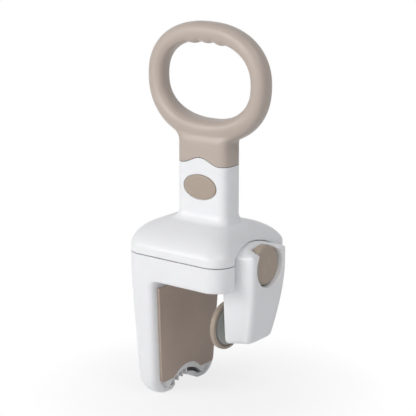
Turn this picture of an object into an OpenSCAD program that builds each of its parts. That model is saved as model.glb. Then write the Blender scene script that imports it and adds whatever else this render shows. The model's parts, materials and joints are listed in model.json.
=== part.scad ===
// Clamp-on bath safety rail with a loop grip and a screw-driven outer jaw.
// +Z is up, X runs across the bath rim, and z = 0 is the face that sits on the rim.
// x = 0 and y = 0 lie on the centre of the neck.

/* [Housing] */
// Distance from the neck centre to the fixed-jaw end
body_left = 65.5; // [60:0.5:72]
// Distance from the neck centre to the outer-jaw end
body_right = 61; // [59:0.5:64]
// Depth of the housing from front to back
body_d = 123; // [116:1:130]
// Plan radius of the housing corners
body_r = 21; // [16:1:24]
// Height of the lower frame from the rim seat to the seam
beam_h = 27; // [26:0.5:32]
// Height of the dome above the seam where the neck starts
dome_h = 32; // [30:1:36]
// Wall of the moulded shells
shell_wall = 3.5; // [3:0.25:4]

/* [Neck and loop handle] */
// Width of the neck
neck_w = 64.5; // [62:0.5:68]
// Depth of the neck from front to back
neck_d = 30.5; // [29:0.5:33]
// Height of the wavy joint between the neck and the grip
grip_z = 119; // [116:1:124]
// Rise of the wave in that joint
wave_rise = 7; // [3:0.5:8]
// Width of the loop outside
loop_w = 151; // [144:1:160]
// Height of the loop outside
loop_h = 119.5; // [116:0.5:126]
// Thickness of the loop seen from the front
loop_t = 20; // [19:0.5:24]
// Extra thickness of the loop where it meets the neck
loop_heel = 5; // [3:0.5:6]
// Depth of the loop from front to back
loop_d = 21.5; // [20:0.5:26]
// Width of the oval badge
badge_w = 41; // [34:1:44]
// Height of the oval badge
badge_h = 25.5; // [22:0.5:28]

/* [Fixed jaw] */
// Depth of the fixed jaw below the rim seat
jaw_drop = 132; // [124:1:138]
// Thickness of the fixed jaw at the rim seat
jaw_t = 41; // [39:1:43]
// Lean of the fixed jaw's inner face in degrees
jaw_lean = 1.8; // [0.5:0.1:2.5]
// Thickness of the fixed rubber pad
fixed_pad_t = 3; // [2:0.5:4]
// Width of the arched notch in the bottom of the fixed jaw
notch_w = 44; // [38:1:50]
// Height of the arched notch
notch_h = 11.5; // [9:0.5:14]

/* [Outer jaw] */
// Position of the outer jaw's inner face at rest
outer_x = 42.2; // [41:0.2:44]
// Thickness of the outer jaw across the rim
outer_t = 37; // [36:0.5:39]
// Width of the outer jaw at its top
outer_w = 68; // [66:1:70]
// Depth of the outer jaw below the rim seat
outer_drop = 62.5; // [60:0.5:66]
// Travel of the outer jaw
travel = 60; // [40:1:62]

/* [Clamp screw] */
// Height of the screw above the rim seat
screw_z = 21; // [20:0.1:21.5]
// Diameter of the screw
screw_d = 10; // [8:0.5:10]
// Diameter of the knob
knob_d = 42; // [39:0.5:44]
// Thickness of the knob
knob_t = 10; // [9:0.5:11]
// Diameter of the guide rods
rod_d = 9; // [8:0.5:10]
// Distance between the guide rods
rod_pitch = 46; // [44:1:48]
// Height of the guide rods above the rim seat
rod_z = 13.5; // [12:0.5:14]

/* [Swivel pad] */
// Diameter of the round rubber pad
round_pad_d = 52; // [48:1:56]
// Thickness of the round rubber pad
round_pad_t = 6; // [5:0.5:7]
// Height of the swivel centre above the outer jaw's foot
swivel_rise = 9.5; // [9:0.5:12.5]
// Diameter of the swivel ball
ball_d = 12; // [11:0.5:13]

/* [Hidden] */
$fn = 48;

// Clearances
fit = 0.2;
run_fit = 0.1;
seat_gap = 0.5;

white = "#f2f3f5";
taupe = "#b9a898";
rubber = "#6f6258";
steel = "#b8bcc0";
brass = "#c9a94f";
nylon = "#8d8f90";

// Housing
body_h = body_d / 2;
floor_t = shell_wall;
neck_r = 10;
lip_h = 7;
fillet_start = 0.78;
fillet_h = 10;
dome_power = 1.6;
dome_fullness = 1.6;
dome_fall = 0.85;
neck_z = beam_h + dome_h + fillet_h;
dome_steps = 9;
fillet_steps = 4;
boss_d = 12;
boss_x = [-14, 33];
boss_y = body_h - 12;
boss_top = beam_h + 10;
cover_screw_d = 3.5;
cover_head_d = 7.6;
cover_head_h = 3;
head_seat = 8;

// Outer jaw pocket in the housing
pocket_x = outer_x - seat_gap;
pocket_h = outer_w / 2 + 1;
pocket_top = beam_h + 16;
pocket_r = 83;
end_wall = 16;
pocket_wall = 3;

// Fixed jaw
rim_x = -body_left + jaw_t - fixed_pad_t;
jaw_r = 7;
jaw_inset = 0.15;
jaw_taper = 9;
outer_lean = 3.5;
toe_r = 18;
plate_t = 3;
plate_margin = 8.5;
plate_h = body_h - plate_margin - fit;
plate_top = -9;
plate_drop = jaw_drop - 3;
pad_drop = jaw_drop - 17;
notch_r = (pow(notch_w / 2, 2) + pow(notch_h, 2)) / (2 * notch_h);
notch_z = -jaw_drop + notch_h - notch_r;
foot_flat = 0.4;
foot_r = 24;
pad_foot_r = 14;
plate_notch = 8;
pad_notch = 14;
rib_t = 2;
rib_gap = 8;
rib_count = 5;
rib_top = -84;
throat_r = 8;
plate_screw_y = 32;
plate_screw_z = [-28, -78];
plate_screw_d = 4;
plate_head_d = 7.6;
plate_skin = 1.2;
plate_ledge = 2;
slab_drop = jaw_drop + 10;
plate_boss_d = 9;
toe_steps = 7;
toe_tuck = 0.8;

// Steel bracket
bracket_t = 4;
bracket_w = 34;
bracket_z = 30;
bracket_left = -body_left + 7.5;
bracket_right = 36;
bracket_drop = 80;
bolt_x = 14;
bolt_d = 8;
bolt_head_d = 13;
bolt_head_h = 2;
bolt_top = 66;
post_d = 6.6;
post_x = [-30, 8];
post_y = 12.6;
bracket_screw_z = [-30, -68];
bracket_screw_d = 5;
bracket_screw_in = 6;
bracket_head_d = 9;
bracket_head_h = 3;
bracket_boss_d = 12;

// Loop handle
skirt_h = 25.5;
loop_bottom = grip_z + skirt_h;
loop_z = loop_bottom + loop_h / 2;
loop_a = (loop_w - loop_t) / 2;
loop_b = (loop_h - loop_t) / 2;
loop_power = 2.25;
loop_steps = 96;
loop_sides = 16;
skin_t = 4.5;
finger_rise = 1.6;
finger_pitch = 17.5;
finger_count = 3;
core_w = neck_w - 2 * shell_wall - 2 * fit;
core_d = neck_d - 2 * shell_wall - 2 * fit;
core_foot = bracket_z + bracket_t;
core_r = 8.4;
stem_z = grip_z + 14;
wave_half = 24;

// Badge
badge_depth = 1.6;
badge_proud = 0.9;
badge_gap = 0.6;
badge_z = grip_z - 24;

// Outer jaw
outer_face = outer_x + outer_t;
outer_top = pocket_top - seat_gap;
outer_r = 9;
// Rounded outer edge of the jaw's top, as [distance behind the face, drop below the top]
brow = [[-1, 9], [2, 5.2], [7, 2.6], [14, 0.8], [20, 0]];
recess_d = knob_d + 3.6;
recess_x = outer_face - knob_t - 5.5;
pin_d = 3;
pin_x = outer_x + 7;
pin_half = 8;
rod_seat = 13;
rod_y = rod_pitch / 2;
clip_t = 1.2;
clip_groove = 0.8;
stop_d = rod_d + 3;
back_t = 3;
back_low = -outer_drop + 3;
back_ledge = 1.5;
back_screw_y = 14;
back_screw_z = -24;
back_screw_d = 3.5;
back_head_d = 6.6;
back_boss_d = 9;
back_head_in = 0.2;
back_head_out = 1.6;
back_screw_l = 14;
cavity_top = -10;
cavity_h = 21;
cavity_t = 18;
outer_toe = 8;

// Clamp screw
screw_in = -44;
washer_t = 1;
washer_x = recess_x + 0.05;
knob_x = washer_x + washer_t;
hub_d = 18;
hub_t = knob_t - 2;
hub_pin_d = 3;
hub_pin_x = knob_x + hub_t / 2 - 0.5;
nut_d = 14.5;
nut_flange_d = 16;
nut_flange_t = 3;
journal_clip_x = outer_x + 3 - clip_t - run_fit;
bush_d = 13;
bush_flange_t = 1.5;
stop_x = pocket_x - end_wall - bush_flange_t - travel - 0.5 - clip_t;
rod_in = stop_x - 2;
clip_d = 15;

// Swivel pad
swivel_z = outer_drop - swivel_rise;
pad_back = outer_x - 15;
ball_x = pad_back + 4;
ball_r = ball_d / 2;
liner_t = 1.9;
liner_r = ball_r + run_fit + liner_t;
socket_r = liner_r + run_fit;
boss_r = socket_r + 2.2;
boss_back = ball_x + 4.8;
stud_d = 5;
stud_nut_d = 9.2;
stud_neck_d = 5.5;
stud_collar_d = 11;
stud_end = outer_x + 14;
stud_nut_t = 6;
pad_front = pad_back - round_pad_t - 1;
pad_plate_d = round_pad_d - 9;
pad_plate_t = 3;

// Points of a quarter arc that starts at angle a0
function corner(cx, cy, r, a0, n) =
    [for (i = [0:n]) [cx + r * cos(a0 + 90 * i / n), cy + r * sin(a0 + 90 * i / n)]];

// Plan outline from x0 to x1 with half widths h0 and h1 and corner radii r0 and r1
function plan(x0, x1, h0, h1, r0, r1, n = 6) = concat(
    corner(x1 - r1, -h1 + r1, r1, -90, n),
    corner(x1 - r1, h1 - r1, r1, 0, n),
    corner(x0 + r0, h0 - r0, r0, 90, n),
    corner(x0 + r0, -h0 + r0, r0, 180, n));

function at_z(points, z) = [for (p = points) [p[0], p[1], z]];
function mix(a, b, f) = a + (b - a) * f;

// Solid skin through a stack of rings with equal point counts, lowest ring first
module loft(rings) {
    m = len(rings[0]);
    k = len(rings);
    polyhedron(
        points = [for (r = rings) each r],
        faces = concat(
            [[for (i = [0:m - 1]) i]],
            [for (j = [0:k - 2], i = [0:m - 1])
                [j * m + i, (j + 1) * m + i, (j + 1) * m + (i + 1) % m]],
            [for (j = [0:k - 2], i = [0:m - 1])
                [j * m + i, (j + 1) * m + (i + 1) % m, j * m + (i + 1) % m]],
            [[for (i = [m - 1:-1:0]) (k - 1) * m + i]]));
}

// Flat outline with four round corners
module rounded_plan(x0, x1, h, r) {
    translate([x0 + r, -h]) square([x1 - x0 - 2 * r, 2 * h]);
    translate([x0, -h + r]) square([x1 - x0, 2 * h - 2 * r]);
    for (x = [x0 + r, x1 - r], y = [-h + r, h - r])
        translate([x, y]) circle(r);
}

// Cylinder along +X
module rod_x(x0, x1, d, y = 0, z = 0) {
    translate([x0, y, z]) rotate([0, 90, 0]) cylinder(d = d, h = x1 - x0);
}

// Prism along +X from an outline drawn as [y, z]
module prism_x(x0, x1) {
    translate([x0, 0, 0]) rotate([90, 0, 90]) linear_extrude(x1 - x0) children();
}

// Prism along Y, centred, from an outline drawn as [x, z]
module prism_y(w) {
    translate([0, w / 2, 0]) rotate([90, 0, 0]) linear_extrude(w) children();
}

// Dome, fillet and neck of the cover, drawn in by off
function dome_plan(f, off) = plan(
    mix(-body_left, -neck_w / 2, pow(f, dome_fullness)) + off,
    mix(body_right, neck_w / 2, pow(f, dome_fall)) - off,
    mix(body_h, neck_d / 2, f) - off, mix(body_h, neck_d / 2, f) - off,
    mix(body_r, neck_r, f) - off * 0.7, mix(body_r, neck_r, f) - off * 0.7);
function dome_z(f) = beam_h + lip_h
    + (dome_h - lip_h) * pow(1 - pow(1 - f, dome_power), 1 / dome_power);
function fillet_f(a) = fillet_start + (1 - fillet_start) * sin(a);
function fillet_z(a) = dome_z(fillet_start) + fillet_h * (1 - cos(a));
function dome_rings(off, top) = concat(
    [at_z(dome_plan(0, off), beam_h - (off > 0 ? 1 : 0))],
    [for (i = [0:dome_steps]) let (f = fillet_start * pow(i / dome_steps, 1.7))
        at_z(dome_plan(f, off), dome_z(f) - off)],
    [for (i = [1:fillet_steps]) let (a = 90 * i / fillet_steps)
        at_z(dome_plan(fillet_f(a), off), fillet_z(a) - off * (1 - i / fillet_steps))],
    [at_z(dome_plan(1, off), top)]);

// Height of the wavy joint at x
function wave_z(x) = abs(x) < wave_half
    ? grip_z + wave_rise / 2 * (1 + cos(180 * x / wave_half)) : grip_z;

module below_wave(gap = 0) {
    prism_y(neck_d + 20) polygon(concat(
        [[neck_w, 0], [-neck_w, 0], [-neck_w, grip_z - gap]],
        [for (x = [-wave_half:4:wave_half]) [x, wave_z(x) - gap]],
        [[neck_w, grip_z - gap]]));
}

// Housing pocket that the outer jaw nests in, grown by g
module jaw_pocket(g = 0) {
    intersection() {
        translate([pocket_x - g, -pocket_h - g, -1])
            cube([body_right, 2 * (pocket_h + g), pocket_top + g + 1]);
        rod_x(pocket_x - g, 2 * body_right, 2 * (pocket_r + g), 0, pocket_top - pocket_r);
    }
}

// Outline of the arched notch at the foot of the fixed jaw, drawn as [y, z]
module notch_disc(grow) {
    translate([0, notch_z]) circle(notch_r + grow, $fn = 96);
}

// Ring of the fixed jaw at height z, with its outer face and its sides tucked in
function jaw_ring(z, toe = 0, side = 0) = let (s = max(0, -z) / jaw_drop,
    h = body_h - jaw_inset - jaw_taper * s - side,
    x0 = -body_left + jaw_inset + outer_lean * s + toe,
    x1 = rim_x + z * tan(jaw_lean))
    at_z(plan(x0, x1, h, h, min(body_r, x1 - x0 - jaw_r - 1), jaw_r), z);

// How far an arc of radius r is drawn in at height h above its lowest point
function tuck(r, h) = h < r ? r - sqrt(r * r - (r - h) * (r - h)) : 0;
jaw_rings = concat(
    [for (i = [toe_steps:-1:1]) let (h = foot_r * (1 - sin(90 * i / toe_steps)))
        jaw_ring(max(h, foot_flat) - jaw_drop, toe_tuck * tuck(toe_r, h), tuck(foot_r, h))],
    [jaw_ring(foot_r - jaw_drop), jaw_ring(-1), jaw_ring(2)]);

module lower_frame() {
    color(white) difference() {
        union() {
            linear_extrude(beam_h) rounded_plan(-body_left, body_right, body_h, body_r);
            difference() {
                loft(jaw_rings);
                prism_x(-body_left - 1, 0) notch_disc(0);
            }
            // Fillet in the corner of the throat
            prism_y(2 * (body_h - body_r)) polygon(concat(
                [[rim_x - 2, -throat_r], [rim_x - 2, 1], [rim_x + throat_r - 0.6, 1]],
                [for (a = [100:14:170]) [rim_x + throat_r + throat_r * cos(a),
                    -throat_r + throat_r * sin(a)]],
                [[rim_x, -throat_r]]));
            for (x = post_x, y = [-post_y, post_y])
                translate([x, y, 0]) cylinder(d = post_d, h = bracket_z);
        }
        // Inside of the beam, which leaves the end wall and pocket walls
        difference() {
            translate([0, 0, floor_t]) linear_extrude(beam_h)
                rounded_plan(-body_left + shell_wall, body_right - shell_wall,
                    body_h - shell_wall, body_r - shell_wall);
            translate([pocket_x - end_wall, -pocket_h - pocket_wall, 0])
                cube([body_right, 2 * (pocket_h + pocket_wall), beam_h]);
            for (x = boss_x, y = [-boss_y, boss_y])
                translate([x, y, 0]) cylinder(d = boss_d, h = beam_h);
            for (x = post_x, y = [-post_y, post_y])
                translate([x, y, 0]) cylinder(d = post_d, h = bracket_z);
        }
        // Inside of the fixed jaw, which leaves the ribs and screw bosses
        difference() {
            jaw_cavity();
            for (i = [0:rib_count - 1])
                translate([-body_left, (i - (rib_count - 1) / 2) * rib_gap - rib_t / 2, -slab_drop])
                    cube([body_left + plate_back(-jaw_drop) - fit, rib_t, slab_drop + rib_top]);
            for (z = bracket_screw_z)
                rod_x(-body_left, bracket_left, bracket_boss_d, 0, z);
            for (y = [-plate_screw_y, plate_screw_y], z = plate_screw_z)
                rod_x(-body_left, plate_back(z - plate_boss_d / 2), plate_boss_d, y, z);
        }
        lean_slab(-1, plate_t)
            plate_outline(plate_drop + fit, plate_top, plate_h + fit, foot_r, plate_notch - fit);
        jaw_pocket();
        // Bores for the screw nut, bushes and fasteners
        rod_x(pocket_x - end_wall - 1, pocket_x + 1, nut_d, 0, screw_z);
        for (y = [-rod_y, rod_y])
            rod_x(pocket_x - end_wall - 1, pocket_x + 1, bush_d, y, rod_z);
        for (x = boss_x, y = [-boss_y, boss_y])
            translate([x, y, -1]) {
                cylinder(d = cover_screw_d + 0.6, h = beam_h + 2);
                cylinder(d = cover_head_d + 0.8, h = head_seat + 1);
            }
        for (z = bracket_screw_z)
            rod_x(-body_left + 4, bracket_left + 1, bracket_screw_d, 0, z);
        for (y = [-plate_screw_y, plate_screw_y], z = plate_screw_z)
            rod_x(-body_left + 5, rim_x, plate_screw_d, y, z);
    }
}

// Back face of the plate at height z
function plate_back(z) = rim_x - plate_t + z * tan(jaw_lean);

// Hollow of the fixed jaw, open on its inner side
module jaw_cavity() {
    z_low = -jaw_drop + shell_wall + 2;
    h = plate_h - plate_ledge;
    h_low = h - jaw_taper - 1;
    x0 = -body_left + shell_wall;
    x1 = rim_x + 2;
    difference() {
        loft([
            at_z(plan(x0 + outer_lean + 9, x1, h_low - 14, h_low - 8, 7, 1), z_low),
            at_z(plan(x0 + outer_lean + 2, x1, h_low - 5, h_low - 2, 9, 1), z_low + 12),
            at_z(plan(x0 + outer_lean, x1, h_low, h_low + 1.5, 12, 1), z_low + 24),
            at_z(plan(x0, x1, h, h, 14, 1), plate_top)]);
        prism_x(-body_left, 0) notch_disc(shell_wall);
    }
    // Way for the bracket up into the beam
    translate([x0 + 1, -bracket_w / 2 - 4, plate_top - 1])
        cube([16, bracket_w + 8, floor_t + 2 - plate_top]);
}

// Outline of the plate or pad as [y, z], with round foot corners and the arched notch
module plate_outline(drop, top, h, r, grow) {
    low = h - jaw_taper * (drop - r) / jaw_drop;
    difference() {
        polygon(concat([[h, top], [-h, top]],
            corner(-low + r, -drop + r, r, 180, 6), corner(low - r, -drop + r, r, 270, 6)));
        notch_disc(grow);
    }
}

// Slab that follows the leaning inner face, from depth a to depth b behind the rim plane
module lean_slab(a, b) {
    intersection() {
        prism_x(rim_x - 20, rim_x + 20) children();
        prism_y(2 * body_d) polygon([
            [rim_x - b, 0], [rim_x - a, 0],
            [rim_x - a - slab_drop * tan(jaw_lean), -slab_drop],
            [rim_x - b - slab_drop * tan(jaw_lean), -slab_drop]]);
    }
}

module fixed_jaw_plate() {
    color(white) difference() {
        lean_slab(0, plate_t) plate_outline(plate_drop, plate_top - fit, plate_h, foot_r, plate_notch);
        for (y = [-plate_screw_y, plate_screw_y], z = plate_screw_z) {
            rod_x(rim_x - 12, rim_x + 2, plate_screw_d + 0.4, y, z);
            rod_x(plate_back(z) + plate_skin, rim_x + 2, plate_head_d + 0.4, y, z);
        }
    }
}

module fixed_jaw_pad() {
    color(rubber) lean_slab(-fixed_pad_t, 0)
        plate_outline(pad_drop, plate_top - 1, plate_h - 0.6, pad_foot_r, pad_notch);
}

module plate_screws() {
    color(steel) for (y = [-plate_screw_y, plate_screw_y], z = plate_screw_z) {
        rod_x(-body_left + 8, plate_back(z) + plate_skin, plate_screw_d, y, z);
        rod_x(plate_back(z) + plate_skin, plate_back(z) + plate_t - 0.5, plate_head_d, y, z);
    }
}

module top_cover() {
    color(white) difference() {
        intersection() {
            loft(dome_rings(0, grip_z + wave_rise + 10));
            union() {
                below_wave();
                translate([-body_d, -body_d, 0]) cube([2 * body_d, 2 * body_d, neck_z + neck_r / 2]);
            }
        }
        difference() {
            loft(dome_rings(shell_wall, grip_z + wave_rise + 20));
            for (x = boss_x, y = [-boss_y, boss_y])
                translate([x, y, 0]) cylinder(d = boss_d, h = boss_top + 20);
            jaw_pocket(pocket_wall);
        }
        jaw_pocket();
        for (x = boss_x, y = [-boss_y, boss_y])
            translate([x, y, 0]) cylinder(d = cover_screw_d, h = boss_top);
        badge_oval(badge_gap, badge_depth, 1);
        rod_x(pocket_x - end_wall, pocket_x + 1, nut_d, 0, screw_z);
    }
}

// Oval prism into the neck's front face
module badge_oval(grow, depth, proud) {
    translate([0, -neck_d / 2 + depth, badge_z]) rotate([90, 0, 0])
        linear_extrude(depth + proud)
            polygon([for (a = [0:7.5:352.5])
                [(badge_w / 2 + grow) * cos(a), (badge_h / 2 + grow) * sin(a)]]);
}

module badge() {
    color(taupe) translate([0, -neck_d / 2 + badge_depth, badge_z]) rotate([90, 0, 0])
        loft([for (s = [[0, 0], [0.4, badge_depth], [1.2, badge_depth + badge_proud * 0.6],
                [4, badge_depth + badge_proud]])
            at_z([for (a = [0:7.5:352.5])
                [(badge_w / 2 - s[0]) * cos(a), (badge_h / 2 - s[0]) * sin(a)]], s[1])]);
}

// Point and outward normal of the loop's centre line at angle a
function loop_x(a) = loop_a * sign(cos(a)) * pow(abs(cos(a)), 2 / loop_power);
function loop_y(a) = loop_b * sign(sin(a)) * pow(abs(sin(a)), 2 / loop_power);
function loop_normal(a) = let (
    tx = loop_x(a + 1) - loop_x(a - 1), tz = loop_y(a + 1) - loop_y(a - 1),
    l = norm([tx, tz])) [tz / l, -tx / l];

// Extra thickness of the finger ridges under the top bar
function finger(a) = let (x = loop_x(a))
    sin(a) > 0 && abs(x) < finger_count * finger_pitch / 2
    ? finger_rise * abs(cos(180 * x / finger_pitch)) : 0;

// Extra thickness of the loop's outer side above the neck
function heel(a) = loop_heel * pow(max(0, -sin(a)), 2);

// Ring swept along the loop, with half thickness t and half depth d
module loop_ring(t, d, steps, sides, ridges) {
    pts = [for (i = [0:steps - 1]) let (a = 360 * (i + 0.5) / steps, n = loop_normal(a))
        for (j = [0:sides - 1]) let (b = 360 * j / sides,
            c = sign(cos(b)) * pow(abs(cos(b)), 0.85),
            r = t * c + (ridges ? (c > 0 ? c * heel(a) : c * finger(a)) : 0))
            [loop_x(a) + n[0] * r, d * sign(sin(b)) * pow(abs(sin(b)), 0.85),
                loop_z + loop_y(a) + n[1] * r]];
    polyhedron(points = pts, faces = [for (i = [0:steps - 1], j = [0:sides - 1])
        let (i2 = (i + 1) % steps, j2 = (j + 1) % sides)
        for (tri = [[i * sides + j, i2 * sides + j, i2 * sides + j2],
            [i * sides + j, i2 * sides + j2, i * sides + j2]]) tri]);
}

// Stem of the core, wide in the neck and thin where it joins the loop, grown by g
module core_stem(g) {
    translate([0, 0, core_foot]) linear_extrude(stem_z + g - core_foot)
        rounded_plan(-core_w / 2 - g, core_w / 2 + g, core_d / 2 + g, core_r);
    translate([0, 0, stem_z]) linear_extrude(loop_bottom + loop_t / 2 + g - stem_z)
        rounded_plan(-core_w / 2 + 3 - g, core_w / 2 - 3 + g, loop_d / 2 - skin_t + g, 3);
}

module handle_core() {
    t = loop_t / 2 - skin_t;
    d = loop_d / 2 - skin_t;
    color(nylon) difference() {
        union() {
            loop_ring(t, d, 48, 8, false);
            core_stem(0);
        }
        for (x = [-bolt_x, bolt_x])
            translate([x, 0, core_foot - 1]) cylinder(d = bolt_d, h = bolt_top - core_foot + 1);
    }
}

module grip_overmould() {
    t = loop_t / 2 - skin_t + fit;
    d = loop_d / 2 - skin_t + fit;
    color(taupe) difference() {
        union() {
            loop_ring(loop_t / 2, loop_d / 2, loop_steps, loop_sides, true);
            difference() {
                loft([at_z(neck_plan(0), grip_z - 8), at_z(neck_plan(0), loop_bottom - 1),
                    at_z(neck_plan(0.6), loop_bottom + 2.5), at_z(neck_plan(2), loop_bottom + 5.5),
                    at_z(neck_plan(4.5), loop_bottom + 9)]);
                below_wave(-fit);
            }
        }
        loop_ring(t, d, 48, 8, false);
        core_stem(fit);
    }
}

// Plan of the neck drawn in by off
function neck_plan(off) = plan(-neck_w / 2 + off, neck_w / 2 - off, neck_d / 2 - off,
    neck_d / 2 - off, neck_r, neck_r);

module steel_bracket() {
    color(steel) difference() {
        prism_y(bracket_w) polygon([
            [bracket_left, -bracket_drop], [bracket_left + bracket_t, -bracket_drop],
            [bracket_left + bracket_t, bracket_z], [bracket_right, bracket_z],
            [bracket_right, core_foot], [bracket_left, core_foot]]);
        for (x = [-bolt_x, bolt_x])
            translate([x, 0, bracket_z - 1]) cylinder(d = bolt_d + 0.4, h = bracket_t + 2);
        for (z = bracket_screw_z)
            rod_x(bracket_left - 1, bracket_left + bracket_t + 1, bracket_screw_d + 0.4, 0, z);
    }
}

module neck_bolts() {
    color(steel) for (x = [-bolt_x, bolt_x]) {
        translate([x, 0, bracket_z - bolt_head_h]) cylinder(d = bolt_head_d, h = bolt_head_h);
        translate([x, 0, bracket_z]) cylinder(d = bolt_d, h = bolt_top - bracket_z - 1);
    }
}

module cover_screws() {
    color(steel) for (x = boss_x, y = [-boss_y, boss_y]) translate([x, y, 0]) {
        translate([0, 0, head_seat - cover_head_h]) cylinder(d = cover_head_d, h = cover_head_h);
        translate([0, 0, head_seat]) cylinder(d = cover_screw_d, h = boss_top - head_seat - 2);
    }
}

module bracket_screws() {
    color(steel) for (z = bracket_screw_z) {
        rod_x(-body_left + bracket_screw_in, bracket_left + bracket_t, bracket_screw_d, 0, z);
        rod_x(bracket_left + bracket_t, bracket_left + bracket_t + bracket_head_h,
            bracket_head_d, 0, z);
    }
}

module screw_nut() {
    color(brass) difference() {
        union() {
            rod_x(pocket_x - end_wall, pocket_x - 1, nut_d, 0, screw_z);
            rod_x(pocket_x - end_wall - nut_flange_t, pocket_x - end_wall, nut_flange_d, 0, screw_z);
        }
        rod_x(0, pocket_x, screw_d + 2 * run_fit, 0, screw_z);
    }
}

module guide_bushes() {
    color(nylon) for (y = [-rod_y, rod_y]) difference() {
        union() {
            rod_x(pocket_x - end_wall, pocket_x - 1, bush_d, y, rod_z);
            rod_x(pocket_x - end_wall - bush_flange_t, pocket_x - end_wall, bush_d + 3, y, rod_z);
        }
        rod_x(0, pocket_x, rod_d + 2 * run_fit, y, rod_z);
    }
}

// Cross pin that locks a guide rod in the outer jaw
module rod_pin(y) {
    translate([pin_x, y, rod_z - pin_half]) cylinder(d = pin_d, h = 2 * pin_half);
}

// Half widths and outer face of the outer jaw at height z
function outer_s(z) = max(0, (16 - z) / (16 + outer_drop));
function outer_hw(z) = outer_w / 2 - 9.5 * pow(outer_s(z), 1.3);
function outer_xf(z) = outer_face - 12 * pow(outer_s(z), 1.7);
function outer_inner_hw(z) = outer_w / 2 - 5 * pow(outer_s(z), 1.3);
function outer_ring(z, off = 0, toe = 0) = at_z(plan(
    outer_x + off, outer_xf(z) - off - toe, outer_inner_hw(z) - off - toe,
    outer_hw(z) - 4 - off - toe, 3, outer_r), z);
function outer_rings(off, top) = concat(
    [for (i = [4:-1:1]) let (a = 90 * i / 4)
        outer_ring(-outer_drop + off + outer_toe * (1 - sin(a)), off, outer_toe * (1 - cos(a)))],
    [for (z = [-outer_drop + off + outer_toe:10.5:top - 1]) outer_ring(z, off)],
    [outer_ring(top, off)]);

module outer_jaw() {
    color(white) difference() {
        intersection() {
            loft(outer_rings(0, outer_top + 1));
            rod_x(outer_x - 1, outer_face + 1, 2 * (pocket_r - seat_gap), 0,
                outer_top - pocket_r + seat_gap);
            prism_y(outer_w + 2) polygon(concat(
                [[outer_x - 1, -outer_drop - 1], [outer_face + 1, -outer_drop - 1]],
                [for (b = brow) [outer_face - b[0], outer_top - b[1]]],
                [[outer_x - 1, outer_top]]));
        }
        // Knob recess
        rod_x(recess_x, outer_face + 1, recess_d, 0, screw_z);
        // Screw journal and its clip seat
        rod_x(outer_x - 1, recess_x + 1, screw_d + 2 * run_fit, 0, screw_z);
        rod_x(outer_x - 1, outer_x + 3, clip_d + 2, 0, screw_z);
        for (y = [-rod_y, rod_y]) {
            rod_x(outer_x - 1, outer_x + rod_seat, rod_d, y, rod_z);
            rod_pin(y);
        }
        outer_cavity();
        for (y = [-back_screw_y, back_screw_y])
            rod_x(outer_x - 1, outer_x + back_screw_l + 2, back_screw_d, y, back_screw_z);
    }
}

// Hollow of the outer jaw, with a ledge that seats its back plate
module outer_cavity() {
    translate([outer_x - 1, -cavity_h, back_low])
        cube([back_t + 1, 2 * cavity_h, cavity_top - back_low]);
    difference() {
        translate([outer_x, -cavity_h + back_ledge, back_low + back_ledge])
            cube([cavity_t, 2 * (cavity_h - back_ledge), cavity_top - back_low - 2 * back_ledge]);
        for (y = [-back_screw_y, back_screw_y])
            rod_x(outer_x + back_t, outer_face, back_boss_d, y, back_screw_z);
    }
}

module outer_jaw_back() {
    color(white) difference() {
        translate([outer_x, -cavity_h + fit, back_low + fit])
            cube([back_t, 2 * (cavity_h - fit), cavity_top - back_low - 2 * fit]);
        rod_x(outer_x - 1, outer_x + back_t + 1, stud_d + 0.3, 0, -swivel_z);
        for (y = [-back_screw_y, back_screw_y]) {
            rod_x(outer_x - 1, outer_x + back_t + 1, back_screw_d + 0.4, y, back_screw_z);
            rod_x(outer_x - 1, outer_x + back_head_out, back_head_d + 0.4, y, back_screw_z);
        }
    }
}

module back_screws() {
    color(steel) for (y = [-back_screw_y, back_screw_y]) {
        rod_x(outer_x + back_head_in, outer_x + back_head_out, back_head_d, y, back_screw_z);
        rod_x(outer_x + back_head_out, outer_x + back_screw_l, back_screw_d, y, back_screw_z);
    }
}

module guide_rods() {
    color(steel) for (y = [-rod_y, rod_y]) difference() {
        rod_x(rod_in, outer_x + rod_seat, rod_d, y, rod_z);
        rod_pin(y);
        difference() {
            rod_x(stop_x, stop_x + clip_t, rod_d + 1, y, rod_z);
            rod_x(stop_x - 1, stop_x + clip_t + 1, rod_d - 2 * clip_groove, y, rod_z);
        }
    }
}

module rod_stop_clips() {
    color(steel) for (y = [-rod_y, rod_y]) difference() {
        rod_x(stop_x, stop_x + clip_t, stop_d, y, rod_z);
        rod_x(stop_x - 1, stop_x + clip_t + 1, rod_d - 2 * clip_groove, y, rod_z);
    }
}

module rod_pins() {
    color(steel) for (y = [-rod_y, rod_y]) rod_pin(y);
}

module ball_stud() {
    color(steel) {
        translate([ball_x, 0, -swivel_z]) sphere(ball_r);
        rod_x(ball_x + ball_r - 1, outer_x - 2, stud_neck_d, 0, -swivel_z);
        rod_x(outer_x - 2, outer_x, stud_collar_d, 0, -swivel_z);
        rod_x(outer_x, stud_end, stud_d, 0, -swivel_z);
    }
}

module ball_stud_nut() {
    color(steel) difference() {
        translate([outer_x + back_t, 0, -swivel_z]) rotate([0, 90, 0])
            cylinder(d = stud_nut_d, h = stud_nut_t, $fn = 6);
        rod_x(outer_x, stud_end, stud_d, 0, -swivel_z);
    }
}

module knob() {
    e = 1.6;
    color(taupe) difference() {
        translate([knob_x, 0, screw_z]) rotate([0, 90, 0]) rotate_extrude($fn = 96)
            union() {
                square([knob_d / 2 - e, knob_t]);
                translate([0, e]) square([knob_d / 2, knob_t - 2 * e]);
                for (y = [e, knob_t - e])
                    translate([knob_d / 2 - e, y]) circle(e);
            }
        rod_x(knob_x - 1, knob_x + hub_t, hub_d, 0, screw_z);
    }
}

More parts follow.
